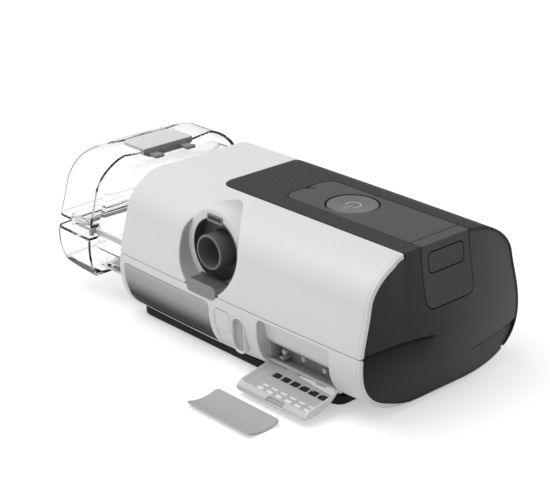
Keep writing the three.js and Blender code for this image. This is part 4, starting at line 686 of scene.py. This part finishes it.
# Filter pad
# A loose strip of pressed white fibre that lies before the open cover, its long edges curled up a little.
fibre = plastic("filter_fibre", (0.46, 0.46, 0.46), 0.9, grain=2500, amount=0.1, bump=1.0)
PAD_X, PAD_Y, PAD_TURN = 57.6, -106.8, math.radians(0.02)
along, across = even_grid(-28, 28, 116, -13, 13, 56)
pad_grid = stacked(PAD_X + along * math.cos(PAD_TURN) - across * math.sin(PAD_TURN),
                   PAD_Y + along * math.sin(PAD_TURN) + across * math.cos(PAD_TURN),
                   0.55 + 2.55 * (across / 12) ** 2)
pad_inside = inside_box(along, across, -27, 27, -12, 12, 2.5)
pad = trimmed_piece("filter_fibre_pad", pad_grid, pad_inside, 0.35, 1.15, fibre, "pad", "filter_fibre", "filter_pad",
                    flip=True, closed=True, flat=60)


# Dark fascia
# One textured dark moulding, flush in the white casing, that wraps the top and the display side.


def pattern(name, texture, turn, low, high, **settings):
    """A node group whose tone runs from one less an amount to one plus it with a fine pattern."""
    group, given, result = shader_group(name, "Scale", "Amount")
    place = add(group, "Mapping", {"Vector": add(group, "TexCoord").outputs["Object"], "Rotation": turn})
    source = add(group, texture, {"Vector": place.outputs["Vector"], "Scale": given["Scale"]}, **settings)
    feed(group, result, {"Tone": tone_about_one(group, source.outputs[0], given["Amount"], low, high)})
    return group


def patterned(material, group, scale, amount):
    """Multiplies a pattern group's tone into a plastic's colour."""
    tree = material.node_tree
    fine = add(tree, "Group", {"Scale": scale, "Amount": amount}, node_tree=group)
    both = add(tree, "Math", {0: tree.nodes["Group"].outputs["Tone"], 1: fine.outputs["Tone"]}, operation="MULTIPLY")
    feed(tree, tree.nodes["Vector Math"], {"Scale": both.outputs[0]})


dots = pattern("fine_dots", "TexVoronoi", (0, 0, 0.5), 0.45, 0.1)
dark = plastic("fascia_textured", (0.048, 0.0485, 0.05), 0.6, grain=1500, amount=0.05, bump=0.6, gloss=0.1)
patterned(dark, dots, 620, 0.28)
DISPLAY = 7.7, 88.3, 23.7, 71.3, 5.3  # x and z from and to, and corner
STRIP = 0, 400, -13, 28, 8  # x and y from and to, and corner: it runs on over the end
fascia_grid = body_grid(-45, 124, loop_at(1, 9), loop_at(-1, 90), 1.1)
x, y, z = np.moveaxis(fascia_grid, -1, 0)
keep = np.minimum.reduce([
    in_fascia(fascia_grid), rim_gap(x, y, z), np.where(z > 60, -inside_box(x, y, *STRIP) - 0.5, FAR),
    np.where((y > 0) & (z < 80), -inside_box(x, z, *DISPLAY), FAR)])
trimmed_piece("fascia_moulding", fascia_grid, keep, 0.5, 1.5, dark, "housing", "dark_fascia", "fascia")


# Control strip and start button
# A smooth strip let into the fascia, with the round start button in a groove and a small light sensor.
satin = plastic("strip_satin", (0.05, 0.0505, 0.052), 0.45, amount=0.02, bump=0.05, gloss=0.18)
BUTTON_X, BUTTON_Y, BUTTON_WELL = 39.7, 7.5, 17.0
SENSOR_X, SENSOR_WELL = 3.4, 2.7  # the sensor stands level with the button
STRIP_END = 105.5  # where the strip meets the end's tab
middle = LOOP[len(LOOP) // 2, 0]
strip_grid = body_grid(-2, STRIP_END + 1.5, middle - 30, middle + 15, 0.9)
x, y, _ = np.moveaxis(strip_grid, -1, 0)
keep = np.minimum.reduce([
    inside_box(x, y, *STRIP), STRIP_END - x, np.hypot(x - BUTTON_X, y - BUTTON_Y) - BUTTON_WELL,
    np.hypot(x - SENSOR_X, y - BUTTON_Y) - SENSOR_WELL])
trimmed_piece("control_strip_panel", strip_grid, keep, 0.4, 1.5, satin, "housing", "dark_smooth", "control_strip")

button_satin = plastic("button_satin", (0.11, 0.111, 0.113), 0.4, amount=0.02, bump=0.05, gloss=0.3)
dish = rounded_profile([(0.05, 93.55), (6, 93.75), (12, 94.3), (15.1, 94.45), (16.0, 94.1), (16.0, 92.0)], 1.2, 5)
turn = np.linspace(0, 2 * np.pi, 97)
cap = stacked(BUTTON_X + dish[:, :1] * np.cos(turn), BUTTON_Y + dish[:, :1] * np.sin(turn), dish[:, 1:])
grid_piece("start_button_cap", cap, button_satin, "button", "button_grey", "start_button", flip=True, flat=50)
mark_pale = plastic("button_mark", (0.42, 0.42, 0.42), 0.5)


def button_mark(name, path, width):
    """A thin raised mark on the button's dish: a ribbon of the width along a path of (x, y) points."""
    path = np.asarray(path, float)
    way = np.gradient(path, axis=0)
    side = stacked(-way[:, 1], way[:, 0]) / np.linalg.norm(way, axis=1)[:, None] * width / 2
    rows = np.stack([path + side, path - side])
    height = 93.62 + 0.012 * np.hypot(rows[..., 0] - BUTTON_X, rows[..., 1] - BUTTON_Y) ** 1.6
    grid_piece(name, np.dstack([rows, height[..., None]]), mark_pale, "button", "button_grey", flip=True)


turn = np.radians(np.linspace(-50, 230, 41))
button_mark("power_mark_ring", stacked(BUTTON_X + 4.6 * np.cos(turn), 8.2 + 4.6 * np.sin(turn)), 0.9)
button_mark("power_mark_bar", [(BUTTON_X, 2.9), (BUTTON_X, 5.2), (BUTTON_X, 7.4)], 0.9)
button_mark("button_light", [(BUTTON_X, -0.4), (BUTTON_X, 0.4), (BUTTON_X, 1.2)], 1.5)


# Dark end panel
# A bulged moulding inside the white rim, with fine diagonal texture, two soft creases and a smooth tab
# at the top that holds the memory card cover.
BULGE = 4.6  # how far the middle line stands out for 1 in PROFILE, whose rows are (share of height, bulge)
PROFILE = np.array([[0, 0.1], [0.13, 0.5], [0.26, 0.92], [0.38, 1], [0.48, 0.72], [0.6, 0.0], [0.82, -0.98],
                    [0.94, -1.3], [1, -1.5]])


def end_points(y, z):
    """The end's outer face at arrays of y and z: from the rim to a bulged middle line by the square of the share of
    the way out. Also gives the distance inside the outline."""
    centre = 40.0
    angle = np.arctan2(z - centre, y)
    outline = np.arctan2(LOOP[:-1, 2] - centre, LOOP[:-1, 1])
    order = np.argsort(outline)
    outline, reach = outline[order], np.hypot(LOOP[:-1, 1], LOOP[:-1, 2] - centre)[order]
    reach = np.interp(angle, outline, reach, period=2 * np.pi)
    share = np.clip(np.hypot(y, z - centre) / reach, 0, 1.05)
    edge = rim_at(reach * np.cos(angle), centre + reach * np.sin(angle), 0) - 0.6
    rows = np.linspace(0, 1, 200)
    line = np.interp(rows, PROFILE[:, 0], PROFILE[:, 1])
    blur = np.hanning(25)
    line = np.convolve(np.pad(line, len(blur) // 2, mode="edge"), blur / blur.sum(), mode="valid")
    middle_x = RIM + BULGE * np.interp(z / HEIGHT, rows, line)
    x = edge * share ** 2 + middle_x * (1 - share ** 2) - (rim_at(y, z, 0) - rim_at(y, z)) * share ** 2
    return stacked(x, y, z), (1 - share) * reach


CREASES = ((-68, 45.0), (-8, 42.5), 1.5), ((66, 27.3), (22, 22.6), -1.0)


def crease(p, a, b, bow, depth=2.0, fall=20.0, fade=16.0):
    """How deep the face is scooped below a bowed crease line from a at the rim to b: deepest at the line, fading
    down and towards b."""
    y, z = p[..., 1], p[..., 2]
    share = (y - a[0]) / (b[0] - a[0])
    line = a[1] + (b[1] - a[1]) * share + bow * 4 * share * (1 - share)
    below = line - z
    along = smooth((b[0] - y) / np.sign(b[0] - a[0]) / fade)
    return np.where(below > 0, depth * np.clip(1 - below / fall, 0, 1) ** 1.5 * smooth(below / 0.7 + 0.3) * along, 0)


lines = pattern("fine_lines", "TexWave", (0.75, 0, 0), 0, 1, bands_direction="Z")
end_dark_painted_light_and_shade = plastic("end_textured_painted_light_and_shade", (0.046, 0.0465, 0.048), 0.5, grain=1300, amount=0.05, bump=0.5, gloss=0.08)
patterned(end_dark_painted_light_and_shade, lines, 190, 0.17)
# Painted shade along the creases and softly below the rear one.
graded(end_dark_painted_light_and_shade, "crease_shade", 0, 1, ((0.0, 1.0), (0.5, 0.3), (1.0, 0.06)))
# Painted light and shade across the end: darker towards the outlet side, lighter towards the display side.
graded(end_dark_painted_light_and_shade, "Y", -0.066, 0.066, ((0.0, 0.6), (0.45, 0.98), (1.0, 2.4)))
TAB = -13, 28, 57, 130, 6  # y and z from and to, and corner: it runs on over the top
CARD_HOLE = -8.0, 23.0, 76.5, 89.5, 3.5
RIM_BAND = 3.1  # how wide the white rim shows round the end, narrower beside the fascia and low on the display side
y, z = even_grid(-70, 70, 200, 3, 95, 150)
end_grid, end_inside = end_points(y, z)
for line in CREASES:
    end_grid[..., 0] -= crease(end_grid, *line)
beside_fascia = smooth((y - FASCIA_Y) / 4) * smooth((z - FASCIA_LOW) / 4)
low_display_side = smooth((y + 50) / 26) * smooth((30 - z) / 10)
inset = RIM_BAND - np.maximum(2.6 * beside_fascia, 2.3 * low_display_side)
keep = np.minimum(end_inside - inset, -inside_box(y, z, *TAB) - 0.55)
points, faces = trimmed(end_grid, keep, 0.5, 4.0, flip=True)
points[:, 2] = np.minimum(points[:, 2], HEIGHT - 0.1)
end_panel = mesh_piece("end_panel_moulding", points, faces, end_dark_painted_light_and_shade, "housing", "dark_fascia", "end_panel")


def crease_shade(x, y, z):
    """How strongly a point is shaded by the creases: fully on a line, and softly below the rear one."""
    p = stacked(x, y, z)
    rear, front = (crease(p, *line, depth=1) for line in CREASES)
    lines = [crease(p, *line, depth=1, fall=2.6, fade=7) for line in CREASES]
    return np.clip(0.5 * rear + 0.12 * front + 2.2 * np.maximum(*lines), 0, 1)


with_value(end_panel, "crease_shade", crease_shade)

y, z = even_grid(-16, 31, 68, 54, 95, 60)
tab_grid, tab_inside = end_points(y, z)
keep = np.minimum.reduce([tab_inside - 0.1, inside_box(y, z, *TAB), -inside_box(y, z, *CARD_HOLE)])
face_points, face_faces = trimmed(tab_grid, keep, 0.4, 1.5, flip=True)
top_grid = body_grid(STRIP_END - 1.5, 120, middle - 30, middle + 15, 0.8)
x, y, z = np.moveaxis(top_grid, -1, 0)
keep = np.minimum.reduce([inside_box(x, y, *STRIP), x - STRIP_END - 0.3, rim_gap(x, y, z)])
top_points, top_faces = trimmed(top_grid, keep, 0.4, 1.5)
points = np.vstack([face_points, top_points])
points[:, 2] = np.minimum(points[:, 2], HEIGHT - 0.03)
faces = face_faces + [block + len(face_points) for block in top_faces]
mesh_piece("end_tab_panel", points, faces, satin, "housing", "dark_smooth", "end_tab")

y, z = even_grid(-9, 24, 56, 75, 91, 30)
card_inside = inside_box(y, z, -7.4, 22.4, 77.1, 88.9, 3)
trimmed_piece("card_cover_panel", end_points(y, z)[0], card_inside, 0.4, 0.7, satin, "card_door", "dark_smooth",
              "card_cover", flip=True, closed=True)


# Water tub
# A clear moulded tub drawn part out of its bay: a base and an arched lid that close over a soft seal.
# Their outer ends carry on the casing's form, and narrower parts behind them slide into the bay.
STEP, END, BACK = MOUTH - 32.6, MOUTH - 69.0, MOUTH + 16.6  # x of the step, the outer end and the inner end
FLOOR, BASE_TOP, LID_LOW = 16, 43.5, 50.5  # heights of the floor, the base's deck and the lid's lower edge
NARROWER, TUB_HALF, TUB_WALL = 6.8, 66, 1.6  # how far the part in the bay is drawn in, half the plan's width, wall
END_BULGE = 3.2  # how far the outer end bulges


def clear_plastic(name, tint, rim):
    """A clear thin plastic: it lets light through, a little darker where it is seen at a flat angle."""
    made = plastic(name, tint, 0.02, amount=0.01, bump=0.02)
    tree = made.node_tree
    facing = add(tree, "LayerWeight", {"Blend": 0.5}).outputs["Facing"]
    mixed(made, add(tree, "Math", {0: facing, 1: 4}, operation="POWER").outputs[0], rim)
    feed(tree, tree.nodes["Principled BSDF"], {"Transmission Weight": 1, "IOR": 1.22})
    return made


clear = clear_plastic("clear_tub", (0.975, 0.975, 0.975), (0.2, 0.2, 0.205))
# Painted shade for the clear tub's corners: strips along them take this darker tint.
clear_edge_painted_shade = clear_plastic("clear_tub_edge_painted_shade", (0.82, 0.82, 0.82), (0.4, 0.4, 0.4))


def tub_rows(rows, end, corner, bulge, low=0.0, high=1.0, rise=0.0, steps=12):
    """Rows of points round a tub part, from the step on the outlet side round its end to the other side.

    rows holds blocks of (share, inset, height, recede). The plan is as wide as the casing at a row's height, less
    the inset, with rounded corners and an end that bulges. The end stands back by the inset and recede. The share
    draws a row in towards the middle of the step, and the floor rises by the square of the way out."""
    share, inset, height, recede = np.vstack(rows).T[:, :, None]
    reach = abs(end - STEP) - inset - recede
    r = np.maximum(corner - inset, 1.5)
    w = TUB_HALF - inset
    t = np.linspace(0, 1, steps + 1)
    side = np.insert(t, 1, 0.025)[:-1]
    turn = np.radians(90) * t[:-1]
    out = np.concatenate([(reach - r) * side, reach - r + r * np.sin(turn), reach + 0 * t], 1)
    across = np.concatenate([-w + 0 * side, -w + r * (1 - np.cos(turn)), (r - w) * (1 - t)], 1)
    out = np.concatenate([out, out[:, -2::-1]], 1)
    across = np.concatenate([across, -across[:, -2::-1]], 1) / w
    out += bulge * (1 - across ** 2) * smooth(out / reach)
    z = height + rise * (out / abs(end - STEP)) ** 2 * np.clip((high - height) / (high - low), 0, 1)
    half = np.stack([half_width(MOUTH, row, -drawn[0]) for row, drawn in zip(z, inset)])
    return stacked(STEP + np.sign(end - STEP) * out * share, across * half * share, z)


def tub_part(name, end_grid, back_grid, lines, node):
    """One clear piece: the outer end, the part behind it and the step between them, with a wall put on inwards.
    The strips along the step and along the rows that lines name are painted darker: painted shade for the dark lines
    that a clear moulding's corners show."""
    points = np.vstack([end_grid.reshape(-1, 3), back_grid.reshape(-1, 3)])
    rows, columns = end_grid.shape[:2]
    index = np.arange(rows * columns).reshape(rows, columns)
    behind = index + rows * columns
    first = np.stack([index[:-1, 0], index[1:, 0], behind[1:, 0], behind[:-1, 0]], -1)
    last = np.stack([index[:-1, -1], behind[:-1, -1], behind[1:, -1], index[1:, -1]], -1)
    piece = mesh_piece(name, points, [grid_faces(rows, columns)[:, ::-1], grid_faces(rows, columns, rows * columns),
                                      first[:, ::-1], last[:, ::-1]], clear, "tub", "clear_tub", node, flat=50)
    row, column = np.divmod(np.arange((rows - 1) * (columns - 1)), columns - 1)
    tinted = (((column == 0) | (column == columns - 2)) & (row > 8)) | np.isin(row, lines)
    kinds = np.zeros(len(piece.data.polygons), np.int32)
    kinds[: len(tinted)] = tinted
    finish_faces(piece, kinds, clear_edge_painted_shade)
    shape = bmesh.new()
    shape.from_mesh(piece.data)
    bmesh.ops.remove_doubles(shape, verts=shape.verts, dist=2e-6)
    bmesh.ops.recalc_face_normals(shape, faces=shape.faces)
    shape.to_mesh(piece.data)
    shape.free()
    solid = piece.modifiers.new("wall", "SOLIDIFY")
    solid.thickness = TUB_WALL * 0.001
    solid.offset = -1


floor_share = np.linspace(0, 1, 9)
wall_z = np.linspace(FLOOR + 0.3, BASE_TOP - 0.4, 13)
drawn_in = 0.9 * (HALF - half_width(MOUTH, wall_z))
end_part = tub_rows((
    stacked(floor_share, 0.4, FLOOR, drawn_in[0]), stacked(1, np.r_[0.1, np.zeros(12)], wall_z, drawn_in),
    stacked(1, np.array([0.4, 2.4, 4.6, NARROWER]), BASE_TOP, 0), stacked(1, NARROWER, BASE_TOP + 1.1, 0),
), END, 4.5, END_BULGE, FLOOR, BASE_TOP, 5.5)
rib = np.isin(np.arange(13), (7, 8))  # along each side, where the tub runs on its rail
rib_z = np.interp(np.arange(13), [0, 6, 7, 8, 9, 12], [21.9, 34.3, 34.7, 36.4, 36.8, 43.1])
back_part = tub_rows((
    stacked(floor_share, NARROWER + 0.4, 21.5, 0), stacked(1, NARROWER - rib, rib_z, 0),
    stacked(1, NARROWER, np.array([43.2, 43.3, 43.4, BASE_TOP, BASE_TOP + 1.1]), 0),
), BACK, 9 + NARROWER, 0)
tub_part("tub_base_shell", end_part, back_part, (8, 21), "tub_base")

ARCH_LOW, LID_TOP, ROUNDING = 50.9, 94.45, 9.0
WELL_HALF, WELL_LONG, WELL_DEEP = 21.7, 25.7, 3.4  # the hollow for the grip
roof_share = np.linspace(0.97, 0, 14)
heights = np.r_[np.linspace(ARCH_LOW, 80, 12),
                80 + (LID_TOP - 80) * np.sin(np.radians(np.r_[np.linspace(8, 74, 16), 90]))]
recedes = ROUNDING - np.sqrt(ROUNDING ** 2 - np.clip(heights - LID_TOP + ROUNDING, 0, ROUNDING) ** 2)
recedes += 0.05 * (heights - LID_LOW)
lid_end = tub_rows((
    stacked(1, NARROWER, 47.5, 0), stacked(1, np.array([NARROWER, 3, 0.4]), LID_LOW, 0),
    stacked(1, 0, heights, recedes), stacked(roof_share, 0, HEIGHT, recedes[-1]),
), END, 5.5, END_BULGE)
x, y, z = np.moveaxis(lid_end, -1, 0)
in_well = (np.abs(y) < WELL_HALF) & (x > STEP - WELL_LONG) & (z > 90)
lid_end[..., 2] -= np.where(in_well, WELL_DEEP, 0)
lid_back = tub_rows((
    stacked(1, NARROWER, np.array([47.5, 49.5, 50.2, LID_LOW]), 0),
    stacked(1, NARROWER, ARCH_LOW + (heights - ARCH_LOW) * (1 - NARROWER / (LID_TOP - ARCH_LOW)), 0),
    stacked(roof_share, NARROWER, HEIGHT - NARROWER, 0),
), BACK, 9 + NARROWER, 0)
tub_part("tub_lid_shell", lid_end, lid_back, (3,), "tub_lid")


# Tub grip
# A pale moulded plate let into the top of the lid, with a deep front lip whose faces are painted darker as shade, and
# two latches that it frees when it is pressed.
grip_pale = plastic("grip_pale", (0.68, 0.68, 0.685), 0.45, amount=0.02, bump=0.3, grain=1400)
grip_shade = plastic("grip_shade", (0.27, 0.27, 0.275), 0.5, amount=0.03)
GRIP_HALF, GRIP_LONG, GRIP_CORNER = 21, 25, 6
ys = np.linspace(-GRIP_HALF, GRIP_HALF, 43)
past = np.abs(ys) - GRIP_HALF + GRIP_CORNER
rear = STEP - GRIP_LONG + GRIP_CORNER - np.sqrt(GRIP_CORNER ** 2 - np.clip(past, 0, GRIP_CORNER - 0.1) ** 2)
low = 87.6 + 2.4 * smooth(past / GRIP_CORNER)
plan = [(rear, 92.4), (rear, 94.0), (rear + 0.4, 94.45), (STEP - 0.9, 94.45), (STEP - 0.4, 94.2), (STEP - 0.2, 93.6),
        (STEP - 0.2, low + 0.6), (STEP - 0.8, low), (STEP - 3.4, low + 0.3), (STEP - 4, 92.4)]
outlines = np.stack([stacked(x, z, ys)[:, :2] for x, z in plan], 1)
grip = band(outlines, ys, "tub_grip_plate", grip_pale, "grip", "grip_grey", "tub_grip")
x, y, z = face_middles(grip)
# Painted shade: the lip's front faces take the darker grey.
finish_faces(grip, (x > STEP - 4.2) & (z < 94.1), grip_shade)
for number, y in enumerate((-13.5, 13.5), 1):
    hook = [(STEP - 1.6, 89.1), (STEP - 1.6, 90.7), (STEP + 6.4, 90.7), (STEP + 6.4, 91.3), (STEP + 7.2, 91.3),
            (STEP + 8, 90.4), (STEP + 8, 89.1)]
    band(hook, (y - 3.5, y + 3.5), f"tub_latch_{number}", grip_shade, "grip", "grip_grey")


# Carried-over solids
# Small moulded and metal pieces whose CAD shape is right keep it, in their own finishes.
finishes = {
    "white_housing": white, "dark_fascia": dark, "dark_smooth": satin, "button_grey": button_satin,
    "black_base": plastic("black_base", (0.012, 0.012, 0.013), 0.6, amount=0.08, gloss=0.15),
    "outlet_grey": outlet_grey, "tube_dark": tube_dark, "silver_plate": film, "filter_grey": filter_grey,
    "filter_fibre": fibre,
    "silicone": plastic("silicone", (0.6, 0.61, 0.62), 0.55),
    "grip_grey": plastic("grip_grey", (0.4, 0.41, 0.42), 0.45),
    "steel": plastic("brushed_steel", (0.5, 0.5, 0.5), 0.35, metallic=1.0),
    "rubber_feet": plastic("rubber_feet", (0.02, 0.02, 0.02), 0.8),
    "display": plastic("display_glass", (0.004, 0.004, 0.005), 0.06, amount=0.02, bump=0.0),
    "blower_white": plastic("blower_white", (0.6, 0.6, 0.59), 0.5),
    "circuit_board": plastic("circuit_board", (0.02, 0.12, 0.05), 0.4, amount=0.1),
    "foam": plastic("foam", (0.12, 0.12, 0.125), 0.95, bump=1.0),
    "clear_tub": clear,
}
slots = {part["node"]: part["material_slot"] for part in frame["record"]["subparts"]}
dress(plastic("catch_grey", (0.42, 0.42, 0.42), 0.4), "lid_catch_1", "lid_catch_2")
for name in sorted(set(frame["nodes"]) - dressed):
    dress(finishes[slots[name]], name)


# Floor and light
# A plain pale floor and soft studio light from above. Seen directly, in a gloss or through the clear tub, the
# background is pure white, and the floor keeps the machine's shadow.


def seen(tree):
    """A mask that is one for camera, glossy and transmission rays."""
    ray = add(tree, "LightPath").outputs
    either = add(tree, "Math", {0: ray["Is Camera Ray"], 1: ray["Is Glossy Ray"]}, operation="MAXIMUM").outputs[0]
    return add(tree, "Math", {0: either, 1: ray["Is Transmission Ray"]}, operation="MAXIMUM").outputs[0]


TABLE, SPREAD = -0.0008, 9  # the level that the feet stand on, and how far the floor runs each way, in metres
floor_data = bpy.data.meshes.new("floor")
floor_data.from_pydata([(x * SPREAD, y * SPREAD, TABLE) for x, y in ((-1, -1), (1, -1), (1, 1), (-1, 1))], [],
                       [(0, 1, 2, 3)])
floor = bpy.data.objects.new("floor", floor_data)
bpy.context.collection.objects.link(floor)
floor_white = bpy.data.materials.new("floor_white")
floor_white.use_nodes = True
tree = floor_white.node_tree
feed(tree, tree.nodes["Principled BSDF"], {
    "Base Color": (0.8, 0.8, 0.8, 1), "Roughness": 0.9, "Specular IOR Level": 0, "Emission Strength": 0.42,
    "Emission Color": seen(tree)})
floor_data.materials.append(floor_white)
world = bpy.data.worlds.new("studio")
bpy.context.scene.world = world
world.use_nodes = True
tree = world.node_tree
light = add(tree, "MapRange", {"Value": seen(tree), "To Min": 0.62, "To Max": 1.0})
feed(tree, tree.nodes["Background"], {"Color": (1, 1, 1, 1), "Strength": light.outputs["Result"]})
bpy.context.scene.view_settings.view_transform = "Standard"
key = bpy.data.objects.new("key_light", bpy.data.lights.new("key_light", "AREA"))
key.data.energy = 8
key.data.size = 1.0
key.location = (-0.35, -0.45, 1.25)
key.rotation_euler = (Vector((0, 0, 0.04)) - key.location).to_track_quat("-Z", "Y").to_euler()
bpy.context.collection.objects.link(key)
